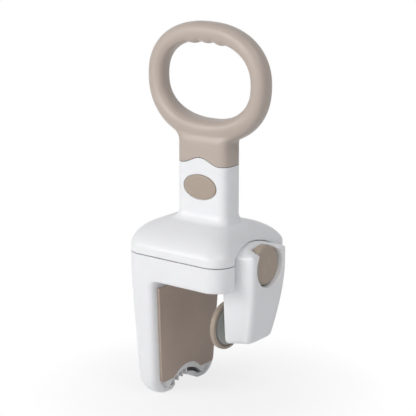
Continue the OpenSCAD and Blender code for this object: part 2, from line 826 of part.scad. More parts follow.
module knob_hub() {
    color(brass) difference() {
        rod_x(knob_x, knob_x + hub_t, hub_d, 0, screw_z);
        rod_x(knob_x - 1, knob_x + hub_t - 1.5, screw_d, 0, screw_z);
        hub_pin(2 * hub_d);
    }
}

module lead_screw() {
    color(steel) difference() {
        rod_x(screw_in, knob_x + hub_t - 1.5, screw_d, 0, screw_z);
        hub_pin(2 * hub_d);
        difference() {
            rod_x(journal_clip_x, journal_clip_x + clip_t, screw_d + 1, 0, screw_z);
            rod_x(outer_x, outer_x + 4, screw_d - 2 * clip_groove, 0, screw_z);
        }
    }
}

module knob_pin() {
    color(steel) hub_pin(hub_d - 0.6);
}

// Cross pin of the knob's hub, centred on the screw
module hub_pin(l) {
    translate([hub_pin_x, 0, screw_z - l / 2]) cylinder(d = hub_pin_d, h = l);
}

module thrust_washer() {
    color(nylon) difference() {
        rod_x(washer_x, knob_x, hub_d + 4, 0, screw_z);
        rod_x(recess_x, knob_x + 1, screw_d + 0.2, 0, screw_z);
    }
}

module retaining_clip() {
    color(steel) difference() {
        rod_x(journal_clip_x, journal_clip_x + clip_t, clip_d, 0, screw_z);
        rod_x(outer_x, outer_x + 4, screw_d - 2 * clip_groove, 0, screw_z);
    }
}

// Shapes placed about the swivel centre
module at_ball() {
    translate([ball_x, 0, -swivel_z]) children();
}

module socket_liner() {
    color(nylon) at_ball() difference() {
        sphere(liner_r);
        sphere(ball_r + run_fit);
        rod_x(3.4, 2 * liner_r, 3 * liner_r);
    }
}

module pad_plate() {
    color("#8b918a") difference() {
        union() {
            rod_x(pad_back - pad_plate_t, pad_back, pad_plate_d, 0, -swivel_z);
            rod_x(pad_back - 0.1, boss_back, 2 * boss_r, 0, -swivel_z);
            rod_x(ball_x - socket_r - 2, pad_back - 1, 2 * boss_r, 0, -swivel_z);
        }
        at_ball() {
            sphere(socket_r);
            rod_x(2, 20, 2 * 7.2);
        }
    }
}

module pad_rubber() {
    e = 1.5;
    r = round_pad_d / 2;
    t = pad_back - 0.6 - pad_front;
    color(taupe) difference() {
        translate([pad_front, 0, -swivel_z]) rotate([0, 90, 0]) rotate_extrude($fn = 96)
            union() {
                square([r - e, t]);
                translate([0, e]) square([r, t - 2 * e]);
                for (y = [e, t - e]) translate([r - e, y]) circle(e);
            }
        rod_x(pad_back - pad_plate_t, pad_back + 1, pad_plate_d, 0, -swivel_z);
        rod_x(ball_x - socket_r - 2, pad_back + 1, 2 * boss_r, 0, -swivel_z);
    }
}

lower_frame();
top_cover();
handle_core();
grip_overmould();
badge();
steel_bracket();
neck_bolts();
cover_screws();
bracket_screws();
fixed_jaw_plate();
fixed_jaw_pad();
plate_screws();
screw_nut();
guide_bushes();
outer_jaw();
outer_jaw_back();
back_screws();
guide_rods();
rod_stop_clips();
rod_pins();
ball_stud();
ball_stud_nut();
knob();
knob_hub();
lead_screw();
knob_pin();
thrust_washer();
retaining_clip();
socket_liner();
pad_plate();
pad_rubber();
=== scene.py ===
"""Looks of a clamp-on bath safety rail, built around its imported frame.

Sizes are in millimetres in the dataclasses and become metres in the meshes.
+Z is up, X runs across the bath wall, and z = 0 is the face that sits on the rim.
"""

from __future__ import annotations

import json
import logging
from collections.abc import Callable
from dataclasses import dataclass
from enum import Enum
from math import acos, atan2, copysign, cos, hypot, pi, radians, sin, sqrt, tan

import bmesh
import bpy
import numpy as np
from mathutils import Matrix, Vector

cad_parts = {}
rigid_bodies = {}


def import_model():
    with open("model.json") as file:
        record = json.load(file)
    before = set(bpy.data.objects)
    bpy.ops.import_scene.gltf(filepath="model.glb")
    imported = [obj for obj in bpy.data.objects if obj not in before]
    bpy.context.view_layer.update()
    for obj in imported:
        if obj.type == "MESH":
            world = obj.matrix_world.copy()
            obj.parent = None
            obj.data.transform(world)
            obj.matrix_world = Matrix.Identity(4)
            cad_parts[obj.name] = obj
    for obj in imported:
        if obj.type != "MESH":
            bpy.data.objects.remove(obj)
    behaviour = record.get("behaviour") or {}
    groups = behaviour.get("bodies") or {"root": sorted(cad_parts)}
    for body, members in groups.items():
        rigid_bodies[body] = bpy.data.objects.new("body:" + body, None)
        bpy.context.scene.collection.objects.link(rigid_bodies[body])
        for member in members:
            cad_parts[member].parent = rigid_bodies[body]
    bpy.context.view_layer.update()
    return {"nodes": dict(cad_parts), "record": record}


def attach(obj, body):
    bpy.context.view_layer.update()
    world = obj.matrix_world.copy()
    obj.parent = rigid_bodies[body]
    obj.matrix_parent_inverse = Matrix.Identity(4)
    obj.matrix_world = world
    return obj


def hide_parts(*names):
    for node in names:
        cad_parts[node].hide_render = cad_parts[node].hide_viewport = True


LOG = logging.getLogger("bath_rail")
MM = 0.001

Flat = tuple[float, float]
Ring = list[tuple[float, float, float]]
Socket = bpy.types.NodeSocket
Solid = bpy.types.Object


class Axis(Enum):
    """Direction that a prism or a turned piece runs along."""

    X = "x"
    Y = "y"
    Z = "z"


class Cut(Enum):
    """How one solid changes another."""

    REMOVE = "DIFFERENCE"
    JOIN = "UNION"
    KEEP = "INTERSECT"


class Graph:
    """A node tree that is filled node by node."""

    def __init__(self, tree: bpy.types.NodeTree) -> None:
        """Takes over a node tree."""
        self.tree = tree

    def add(self, kind: str, setup: dict[str, str] | None = None,
            **inputs: object) -> bpy.types.Node:
        """Adds a node and fills or links its inputs by name.

        Args:
            kind: Node type.
            setup: Node properties by name.
            inputs: Sockets to link or values to set, by input name with _ for a space.

        Returns:
            The new node.
        """
        node = self.tree.nodes.new(kind)
        for key, value in (setup or {}).items():
            setattr(node, key, value)
        for key, value in inputs.items():
            self.feed(node.inputs[key.replace("_", " ")], value)
        return node

    def feed(self, place: Socket, value: object) -> None:
        """Links a socket to an input, or sets the input's value.

        Args:
            place: Input of a node.
            value: Socket to link, or value to set.
        """
        if isinstance(value, Socket):
            self.tree.links.new(value, place)
        else:
            place.default_value = value


class Shading(Graph):
    """The shader tree of a material or a world."""

    def __init__(self, owner: bpy.types.Material | bpy.types.World,
                 output: str = "ShaderNodeOutputMaterial") -> None:
        """Empties a shader tree and gives it an output.

        Args:
            owner: Material or world to fill.
            output: Node type of the output.
        """
        owner.use_nodes = True
        super().__init__(owner.node_tree)
        self.tree.nodes.clear()
        self.output = self.add(output)
        self.coords = self.add("ShaderNodeTexCoord").outputs["Object"]

    def noise(self, scale: float, detail: float, rough: float = 0.5) -> Socket:
        """Adds a noise with some cells in a metre and returns its value."""
        return self.add("ShaderNodeTexNoise", Vector=self.coords, Scale=scale, Detail=detail,
                        Roughness=rough).outputs["Fac"]

    def spread(self, value: Socket, low: float, high: float, start: float = 0.3,
               end: float = 0.7) -> Socket:
        """Returns a value mapped so that start gives low and end gives high."""
        return self.add("ShaderNodeMapRange", Value=value, From_Min=start, From_Max=end,
                        To_Min=low, To_Max=high).outputs["Result"]

    def blend(self, factor: Socket, first: tuple | Socket, second: tuple | Socket) -> Socket:
        """Returns the mix of two colours by a factor."""
        return self.add("ShaderNodeMix", {"data_type": "RGBA"}, Factor=factor, A=first,
                        B=second).outputs["Result"]

    def either(self, first: Socket, second: Socket) -> Socket:
        """Returns the larger of two values.

        Args:
            first: One value.
            second: The other value.

        Returns:
            The larger value's socket.
        """
        node = self.add("ShaderNodeMath", {"operation": "MAXIMUM"})
        self.feed(node.inputs[0], first)
        self.feed(node.inputs[1], second)
        return node.outputs["Value"]

    def seen(self) -> Socket:
        """Gives 1 where the camera sees a place, also mirrored or through a clear piece.

        Returns:
            The value's socket.
        """
        path = self.add("ShaderNodeLightPath")
        mirrored = self.either(path.outputs["Is Glossy Ray"], path.outputs["Is Transmission Ray"])
        return self.either(path.outputs["Is Camera Ray"], mirrored)

    def choose(self, factor: Socket, first: bpy.types.Node,
               second: bpy.types.Node) -> bpy.types.Node:
        """Mixes two shaders.

        Args:
            factor: Share of the second shader.
            first: Shader at 0.
            second: Shader at 1.

        Returns:
            The mixing node.
        """
        node = self.add("ShaderNodeMixShader")
        for place, source in zip(node.inputs, (factor, first.outputs[0], second.outputs[0])):
            self.feed(place, source)
        return node

    def end(self, shader: bpy.types.Node) -> None:
        """Makes a shader the surface of the material or world."""
        self.feed(self.output.inputs["Surface"], shader.outputs[0])

    def relief(self, strength: float, distance: float, height: Socket) -> Socket:
        """Returns a normal with a fine relief, its depth in metres."""
        return self.add("ShaderNodeBump", Strength=strength, Distance=distance,
                        Height=height).outputs["Normal"]


def scaled(colour: tuple[float, float, float], by: float) -> tuple[float, ...]:
    """Returns a colour made lighter or darker by one factor, with its alpha."""
    return (*(min(1.0, c * by) for c in colour), 1.0)


@dataclass(frozen=True)
class Moulded:
    """Moulded plastic or rubber: a fine tooled texture with slow changes of tone."""

    name: str
    colour: tuple[float, float, float]
    roughness: float
    texture: float
    grain: float = 2600.0
    tone: float = 0.04
    sheen: float = 0.0
    specular: float = 0.5
    soft: float = 0.0
    # Share of painted highlight: convex edges are painted lighter, standing in for light caught on
    # the rims.
    painted_edge_highlight: float = 0.0

    def make(self) -> bpy.types.Material:
        """Builds the node material.

        Returns:
            The material.
        """
        material = bpy.data.materials.new(self.name)
        shade = Shading(material)
        colour = shade.blend(shade.spread(shade.noise(24.0, 4.0), 0.0, 1.0),
                             scaled(self.colour, 1 - self.tone), scaled(self.colour, 1 + self.tone))
        # Painted highlight: convex edges, found by pointiness, are painted lighter, where light
        # would catch the rims.
        if self.painted_edge_highlight > 0:
            bend = shade.add("ShaderNodeNewGeometry").outputs["Pointiness"]
            colour = shade.blend(shade.spread(bend, 0.0, self.painted_edge_highlight, 0.52, 0.6), colour,
                                 scaled(self.colour, 1.25))
        rough = shade.spread(shade.noise(60.0, 5.0), self.roughness - 0.04, self.roughness + 0.05)
        shade.end(shade.add(
            "ShaderNodeBsdfPrincipled", Base_Color=colour, Roughness=rough,
            Sheen_Weight=self.sheen, Sheen_Roughness=0.5, Specular_IOR_Level=self.specular,
            Subsurface_Weight=self.soft, Subsurface_Scale=0.002,
            Normal=shade.relief(self.texture, 0.00012, shade.noise(self.grain, 2.0, 0.6))))
        return material


@dataclass(frozen=True)
class Metal:
    """Plated or turned metal with fine tool lines around one axis."""

    name: str
    colour: tuple[float, float, float]
    roughness: float
    lines: float = 0.25
    stretch: tuple[float, float, float] = (2200.0, 60.0, 60.0)

    def make(self) -> bpy.types.Material:
        """Builds the node material.

        Returns:
            The material.
        """
        material = bpy.data.materials.new(self.name)
        shade = Shading(material)
        drawn = shade.add("ShaderNodeMapping", Vector=shade.coords, Scale=self.stretch)
        streaks = shade.add("ShaderNodeTexNoise", Vector=drawn.outputs["Vector"], Scale=1.0,
                            Detail=3.0, Roughness=0.6).outputs["Fac"]
        colour = shade.blend(shade.spread(shade.noise(90.0, 4.0), 0.0, 1.0),
                             scaled(self.colour, 0.88), scaled(self.colour, 1.06))
        shade.end(shade.add(
            "ShaderNodeBsdfPrincipled", Base_Color=colour, Metallic=1.0,
            Roughness=shade.spread(streaks, self.roughness - 0.06, self.roughness + 0.1),
            Normal=shade.relief(self.lines, 0.00005, streaks)))
        return material


WHITE_SHELL = Moulded("white_shell_plastic", (0.86, 0.868, 0.88), 0.34, 0.10, tone=0.008,
                      specular=0.42, soft=0.06)
TAUPE_SKIN = Moulded("taupe_soft_grip", (0.475, 0.403, 0.352), 0.37, 0.16, tone=0.03,
                     sheen=0.1, specular=0.5, painted_edge_highlight=0.25)
TAUPE_KNOB = Moulded("taupe_knob_rubber", (0.41, 0.338, 0.276), 0.5, 0.25, tone=0.03,
                     sheen=0.1, specular=0.32, painted_edge_highlight=0.3)
JAW_RUBBER = Moulded("fixed_jaw_rubber", (0.45, 0.362, 0.303), 0.62, 0.5, grain=1500.0, tone=0.05,
                     sheen=0.15, specular=0.25, painted_edge_highlight=0.3)
SWIVEL_PLASTIC = Moulded("swivel_plate_plastic", (0.36, 0.372, 0.352), 0.5, 0.3, tone=0.05,
                         specular=0.35)
NYLON = Moulded("bearing_nylon", (0.33, 0.335, 0.33), 0.48, 0.3, tone=0.05, specular=0.4, soft=0.03)
STEEL = Metal("zinc_plated_steel", (0.62, 0.63, 0.65), 0.3)
SCREW_STEEL = Metal("rolled_thread_steel", (0.58, 0.59, 0.61), 0.27, 0.3, (400.0, 400.0, 400.0))
BRASS = Metal("turned_brass", (0.66, 0.49, 0.2), 0.28)


class Finishes:
    """Makes each finish once and dresses pieces and frame nodes with it."""

    def __init__(self) -> None:
        """Starts with no finish made."""
        self._made: dict[str, bpy.types.Material] = {}

    def get(self, finish: Moulded | Metal) -> bpy.types.Material:
        """Returns the material of a finish, making it at its first use."""
        if finish.name not in self._made:
            self._made[finish.name] = finish.make()
        return self._made[finish.name]

    def dress(self, piece: Solid, finish: Moulded | Metal) -> None:
        """Puts a finish in every material slot of an object.

        Args:
            piece: Object to dress.
            finish: Finish that it takes.
        """
        material = self.get(finish)
        if not piece.material_slots:
            piece.data.materials.append(material)
        for slot in piece.material_slots:
            slot.material = material


def mix(a: float, b: float, f: float) -> float:
    """Returns the value a share f of the way from a to b."""
    return a + (b - a) * f


def quarter(steps: int) -> list[float]:
    """Returns evenly spaced angles from 0 to a quarter turn."""
    return [pi / 2 * i / steps for i in range(steps + 1)]


def bent(value: float, power: float) -> float:
    """Returns a value raised to a power with its sign kept."""
    return copysign(abs(value) ** power, value)


def ellipse(w: float, h: float, steps: int = 120) -> list[Flat]:
    """Returns the points of an ellipse with half axes w and h."""
    return [(w * cos(a), h * sin(a))
            for a in (2 * pi * i / steps for i in range(steps))]


def corner(cx: float, cy: float, r: float, start: float, steps: int) -> list[Flat]:
    """Returns the points of a quarter arc from a start angle in degrees."""
    angles = [radians(start + 90 * i / steps) for i in range(steps + 1)]
    return [(cx + r * cos(a), cy + r * sin(a)) for a in angles]


def plan(x0: float, x1: float, h0: float, h1: float, r0: float, r1: float,
         steps: int = 14) -> list[Flat]:
    """Returns a plan outline with half width h0 and corners r0 at x0, and h1 and r1 at x1."""
    return (corner(x1 - r1, -h1 + r1, r1, -90, steps) + corner(x1 - r1, h1 - r1, r1, 0, steps)
            + corner(x0 + r0, h0 - r0, r0, 90, steps)
            + corner(x0 + r0, -h0 + r0, r0, 180, steps))


def at_height(outline: list[Flat], z: float) -> Ring:
    """Lifts a plan outline to height z."""
    return [(x, y, z) for x, y in outline]


def make_piece(name: str, points: list, faces: list, smooth: bool = True) -> Solid:
    """Makes a closed mesh object with its faces turned outwards.

    Args:
        name: Name of the object.
        points: Corners in millimetres.
        faces: Lists of corner numbers.
        smooth: Whether its faces are shaded smooth.

    Returns:
        The object, linked to the scene.
    """
    mesh = bpy.data.meshes.new(name)
    mesh.from_pydata([tuple(c * MM for c in p) for p in points], [], faces)
    work = bmesh.new()
    work.from_mesh(mesh)
    bmesh.ops.remove_doubles(work, verts=work.verts, dist=1e-7)
    bmesh.ops.recalc_face_normals(work, faces=work.faces)
    volume = work.calc_volume(signed=True)
    work.to_mesh(mesh)
    work.free()
    if volume < 0:
        mesh.flip_normals()
    mesh.polygons.foreach_set("use_smooth", [smooth] * len(mesh.polygons))
    piece = bpy.data.objects.new(name, mesh)
    bpy.context.scene.collection.objects.link(piece)
    return piece


def loft(name: str, rings: list[Ring], closed: bool = False) -> Solid:
    """Solid skin through rings with equal point counts.

    Args:
        name: Name of the object.
        rings: Rings in order.
        closed: Whether the last ring joins the first in place of end caps.

    Returns:
        The object.
    """
    count = len(rings[0])
    points = [p for ring in rings for p in ring]
    spans = len(rings) if closed else len(rings) - 1
    faces = []
    for j in range(spans):
        a, b = j * count, (j + 1) % len(rings) * count
        for i in range(count):
            k = (i + 1) % count
            faces.append([a + i, b + i, b + k, a + k])
    if not closed:
        faces.append(list(range(count)))
        faces.append([(len(rings) - 1) * count + i for i in range(count)])
    return make_piece(name, points, faces)


def prism(name: str, outline: list[Flat], axis: Axis, low: float, high: float) -> Solid:
    """Returns a straight prism on a [y, z], [x, z] or [x, y] outline for axis X, Y or Z."""
    place = {Axis.X: lambda p, t: (t, p[0], p[1]), Axis.Y: lambda p, t: (p[0], t, p[1]),
             Axis.Z: lambda p, t: (p[0], p[1], t)}[axis]
    return loft(name, [[place(p, t) for p in outline] for t in (low, high)])


def box(name: str, low: tuple, high: tuple) -> Solid:
    """Cutter with straight sides between two corners."""
    outline = [(low[0], low[1]), (high[0], low[1]), (high[0], high[1]), (low[0], high[1])]
    return prism(name, outline, Axis.Z, low[2], high[2])


def turned(name: str, profile: list[Flat], axis: Axis, centre: Flat,
           steps: int = 96) -> Solid:
    """Piece turned on a lathe.

    Args:
        name: Name of the object.
        profile: Points as (place along the axis, radius); a radius of 0 closes an end.
        axis: X or Z.
        centre: The axis's place, as (y, z) for X or (x, y) for Z.
        steps: Segments around the axis.

    Returns:
        The object.
    """
    rings = []
    for along, radius in profile:
        ring = [(centre[0] + c, centre[1] + s) for c, s in ellipse(radius, radius, steps)]
        rings.append([(along, *p) if axis is Axis.X else (*p, along) for p in ring])
    return loft(name, rings)


def rod(name: str, x0: float, x1: float, d: float, y: float, z: float,
        steps: int = 64) -> Solid:
    """Plain round cutter along X."""
    return turned(name, [(x0, d / 2), (x1, d / 2)], Axis.X, (y, z), steps)


def post(name: str, z0: float, z1: float, d: float, x: float, y: float,
         steps: int = 48) -> Solid:
    """Plain round cutter along Z."""
    return turned(name, [(z0, d / 2), (z1, d / 2)], Axis.Z, (x, y), steps)


def bake(piece: Solid) -> None:
    """Applies an object's modifiers to its mesh.

    Args:
        piece: Object to apply them to.
    """
    bpy.context.view_layer.update()
    graph = bpy.context.evaluated_depsgraph_get()
    mesh = bpy.data.meshes.new_from_object(piece.evaluated_get(graph))
    old = piece.data
    piece.modifiers.clear()
    piece.data = mesh
    bpy.data.meshes.remove(old)


def combine(piece: Solid, others: list[Solid], cut: Cut = Cut.REMOVE) -> None:
    """Changes a solid by other solids, which are used up.

    Args:
        piece: Solid that changes.
        others: Solids that change it.
        cut: How they change it.
    """
    for other in others:
        modifier = piece.modifiers.new("cut", "BOOLEAN")
        modifier.operation = cut.value
        modifier.solver = "EXACT"
        modifier.object = other
        bake(piece)
        bpy.data.objects.remove(other)


def soften(piece: Solid, voxel: float, rounds: int) -> None:
    """Gives a solid moulded round edges.

    Args:
        piece: Solid to soften.
        voxel: Mesh size in millimetres.
        rounds: How often the surface is relaxed.
    """
    remesh = piece.modifiers.new("remesh", "REMESH")
    remesh.mode = "VOXEL"
    remesh.voxel_size = voxel * MM
    relax = piece.modifiers.new("relax", "SMOOTH")
    relax.factor = 0.5
    relax.iterations = rounds
    bake(piece)
    piece.data.polygons.foreach_set("use_smooth", [True] * len(piece.data.polygons))


def relax_near(piece: Solid, near: Callable[[np.ndarray], np.ndarray],
               rounds: int) -> None:
    """Relaxes a fine mesh only where a measure of its points is small.

    Args:
        piece: Mesh to relax.
        near: Gives, for points in millimetres, each point's share from 0 to 1.
        rounds: How often the surface is relaxed.
    """
    points = np.empty(len(piece.data.vertices) * 3)
    piece.data.vertices.foreach_get("co", points)
    share = np.clip(near(points.reshape(-1, 3) / MM), 0.0, 1.0)
    group = piece.vertex_groups.new(name="edge")
    for level in range(1, 9):
        chosen = np.nonzero(np.ceil(share * 8).astype(int) == level)[0]
        group.add(chosen.tolist(), level / 8, "REPLACE")
    relax = piece.modifiers.new("relax", "SMOOTH")
    relax.factor = 0.5
    relax.iterations = rounds
    relax.vertex_group = "edge"
    bake(piece)
    piece.vertex_groups.clear()


def shade_by_angle(piece: Solid, degrees: float) -> None:
    """Shades a mesh smooth except across edges sharper than an angle.

    Args:
        piece: Object to shade.
        degrees: Angle from which an edge stays crisp.
    """
    mesh = piece.data
    mesh.polygons.foreach_set("use_smooth", [True] * len(mesh.polygons))
    mesh.set_sharp_from_angle(angle=radians(degrees))


def rounded_ends(x0: float, x1: float, r: float, e0: float, e1: float,
                 steps: int) -> list[Flat]:
    """Turned profile of a disc with round rims, closed on its axis.

    Args:
        x0: Start along the axis.
        x1: End along the axis.
        r: Outside radius.
        e0: Rim radius at the start.
        e1: Rim radius at the end.
        steps: Segments in each rim.

    Returns:
        The profile.
    """
    start = [(x0 + e0 - e0 * cos(a), r - e0 + e0 * sin(a)) for a in quarter(steps)]
    end = [(x1 - e1 + e1 * sin(a), r - e1 + e1 * cos(a)) for a in quarter(steps)]
    return [(x0, 0.01)] + start + end + [(x1, 0.01)]


class Tree(Graph):
    """Geometry Nodes tree with named inputs."""

    def __init__(self, name: str) -> None:
        """Makes a tree with a geometry output and no nodes but its ends.

        Args:
            name: Name of the tree.
        """
        super().__init__(bpy.data.node_groups.new(name, "GeometryNodeTree"))
        self.tree.interface.new_socket("Geometry", in_out="OUTPUT",
                                       socket_type="NodeSocketGeometry")
        self.start = self.add("NodeGroupInput")
        self.result = self.add("NodeGroupOutput")
        self.ids: dict[str, str] = {}

    def value(self, name: str, kind: str = "NodeSocketFloat") -> Socket:
        """Adds a named input and returns its socket inside the tree.

        Args:
            name: Name of the input.
            kind: Type of the input.

        Returns:
            The input's socket inside the tree.
        """
        item = self.tree.interface.new_socket(name, in_out="INPUT", socket_type=kind)
        self.ids[name] = item.identifier
        return self.start.outputs[name]

    def finish(self, geometry: Socket, material: bpy.types.Material) -> None:
        """Ends the tree in Realize Instances and Set Material.

        Args:
            geometry: Socket with the shape.
            material: Material of the shape.
        """
        real = self.add("GeometryNodeRealizeInstances", Geometry=geometry)
        dress = self.add("GeometryNodeSetMaterial", Geometry=real.outputs["Geometry"],
                         Material=material)
        self.feed(self.result.inputs["Geometry"], dress.outputs["Geometry"])

    def build(self, name: str, values: dict[str, object]) -> Solid:
        """Runs the tree and returns its result as a plain mesh object.

        Args:
            name: Name of the object.
            values: Values of the named inputs.

        Returns:
            The object, with no modifier left.
        """
        mesh = bpy.data.meshes.new(name)
        piece = bpy.data.objects.new(name, mesh)
        bpy.context.scene.collection.objects.link(piece)
        modifier = piece.modifiers.new("shape", "NODES")
        modifier.node_group = self.tree
        for key, value in values.items():
            modifier[self.ids[key]] = value
        bake(piece)
        return piece


def instances_at(name: str, points: Ring, source: Solid,
                 material: bpy.types.Material) -> Solid:
    """Repeats a piece at each of some points with a node tree.

    Args:
        name: Name of the result.
        points: Places in millimetres.
        source: Piece to repeat, used up.
        material: Material of the result.

    Returns:
        The pieces as one plain mesh object.
    """
    holder = make_piece(name + "_points", points, [])
    tree = Tree(name + "_tree")
    where = tree.value("Points", "NodeSocketObject")
    what = tree.value("Shape", "NodeSocketObject")
    scale = tree.value("Scale")
    places = tree.add("GeometryNodeObjectInfo", Object=where)
    shape = tree.add("GeometryNodeObjectInfo", Object=what)
    size = tree.add("ShaderNodeCombineXYZ", X=scale, Y=scale, Z=scale)
    dots = tree.add("GeometryNodeMeshToPoints", Mesh=places.outputs["Geometry"])
    copies = tree.add("GeometryNodeInstanceOnPoints", Points=dots.outputs["Points"],
                      Instance=shape.outputs["Geometry"], Scale=size.outputs["Vector"])
    tree.finish(copies.outputs["Instances"], material)
    piece = tree.build(name, {"Points": holder, "Shape": source, "Scale": 1.0})
    for used in (holder, source):
        bpy.data.objects.remove(used)
    return piece


@dataclass
class Sizes:
    """Sizes that several sub-assemblies share, in millimetres."""

    body_left: float = 65.5
    body_right: float = 61.0
    body_d: float = 123.0
    body_r: float = 21.0
    beam_h: float = 27.0
    neck_w: float = 64.5
    neck_d: float = 30.5
    neck_r: float = 10.0
    grip_z: float = 119.0
    wave_rise: float = 7.0
    wave_half: float = 24.0
    wall: float = 3.5
    outer_x: float = 42.2
    outer_w: float = 68.0
    pocket_top: float = 43.0
    pocket_r: float = 65.0
    pocket_edge: float = 3.5
    screw_z: float = 21.0
    rod_y: float = 23.0
    rod_z: float = 13.5
    rim_x: float = -27.5
    jaw_lean: float = radians(1.8)
    jaw_drop: float = 132.0
    notch_w: float = 44.0
    notch_h: float = 10.0
    swivel_z: float = -53.0
    ball_x: float = 31.2
    end_wall: float = 16.0
    nut_d: float = 14.5
    arch_steps: int = 40

    @property
    def half(self) -> float:
        """Half of the housing's depth."""
        return self.body_d / 2

    @property
    def pocket_x(self) -> float:
        """End wall of the jaw pocket."""
        return self.outer_x - 0.5

    @property
    def notch_r(self) -> float:
        """Radius of the arched notch in the foot."""
        return ((self.notch_w / 2) ** 2 + self.notch_h ** 2) / (2 * self.notch_h)

    @property
    def notch_z(self) -> float:
        """Height of that arch's centre."""
        return -self.jaw_drop + self.notch_h - self.notch_r

    def wave(self, x: float) -> float:
        """Height of the wavy joint between neck and grip at x."""
        if abs(x) >= self.wave_half:
            return self.grip_z
        return self.grip_z + self.wave_rise / 2 * (1 + cos(pi * x / self.wave_half))

    def below_wave(self, gap: float) -> Solid:
        """Solid that fills everything below the wavy joint, less a gap.

        Args:
            gap: How far below the joint it ends.

        Returns:
            The solid.
        """
        xs = [x * 0.5 for x in range(int(-self.wave_half * 2), int(self.wave_half * 2) + 1)]
        outline = [(-80, 0), (80, 0), (80, self.grip_z - gap)]
        outline += [(x, self.wave(x) - gap) for x in reversed(xs)] + [(-80, self.grip_z - gap)]
        return prism("below_wave", outline, Axis.Y, -80, 80)

    def pocket(self, grow: float = 0.0) -> Solid:
        """Solid of the pocket that the sliding jaw nests in.

        Args:
            grow: How much larger than the pocket it is.

        Returns:
            The solid.
        """
        h = self.outer_w / 2 + 1 + grow
        r = self.pocket_r + grow
        outline = [(-h, -5.0), (h, -5.0)]
        for i in range(self.arch_steps + 1):
            y = h - 2 * h * i / self.arch_steps
            outline.append((y, self.pocket_top - self.pocket_r + sqrt(r * r - y * y)))
        return prism("pocket", outline, Axis.X, self.pocket_x - grow, self.body_right + 40)

    def pocket_rim(self, points: np.ndarray) -> np.ndarray:
        """Share of the smoothing that each point near the pocket's open edge gets.

        Args:
            points: Points in millimetres, one in each row.

        Returns:
            Each point's share.
        """
        x, y, z = points.T
        side = np.abs(np.abs(y) - self.outer_w / 2 - 1)
        arch = np.abs(np.hypot(y, z - self.pocket_top + self.pocket_r) - self.pocket_r)
        below = z < self.pocket_top - 8
        away = np.where(below, side, np.minimum(arch, side))
        return np.where(x > self.pocket_x + 5, 1.4 - away / self.pocket_edge, 0.0)


@dataclass
class Assembly:
    """Pieces of one sub-assembly, which share sizes and finishes."""

    sizes: Sizes
    finishes: Finishes

    def deliver(self, piece: Solid, sharp: float, finish: Moulded | Metal, body: str,
                slot: str, *nodes: str) -> None:
        """Shades and dresses a finished piece, hands it to the frame and reports it.

        Args:
            piece: Finished piece.
            sharp: Angle in degrees from which edges stay crisp.
            finish: Finish that it takes.
            body: Body that it rides on.
            slot: Material slot of the record; not used.
            nodes: Frame nodes that it stands for.
        """
        shade_by_angle(piece, sharp)
        self.finishes.dress(piece, finish)
        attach(piece, body)
        if nodes:
            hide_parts(*nodes)
        LOG.info("%s: %d faces, rides on %s", piece.name, len(piece.data.polygons), body)


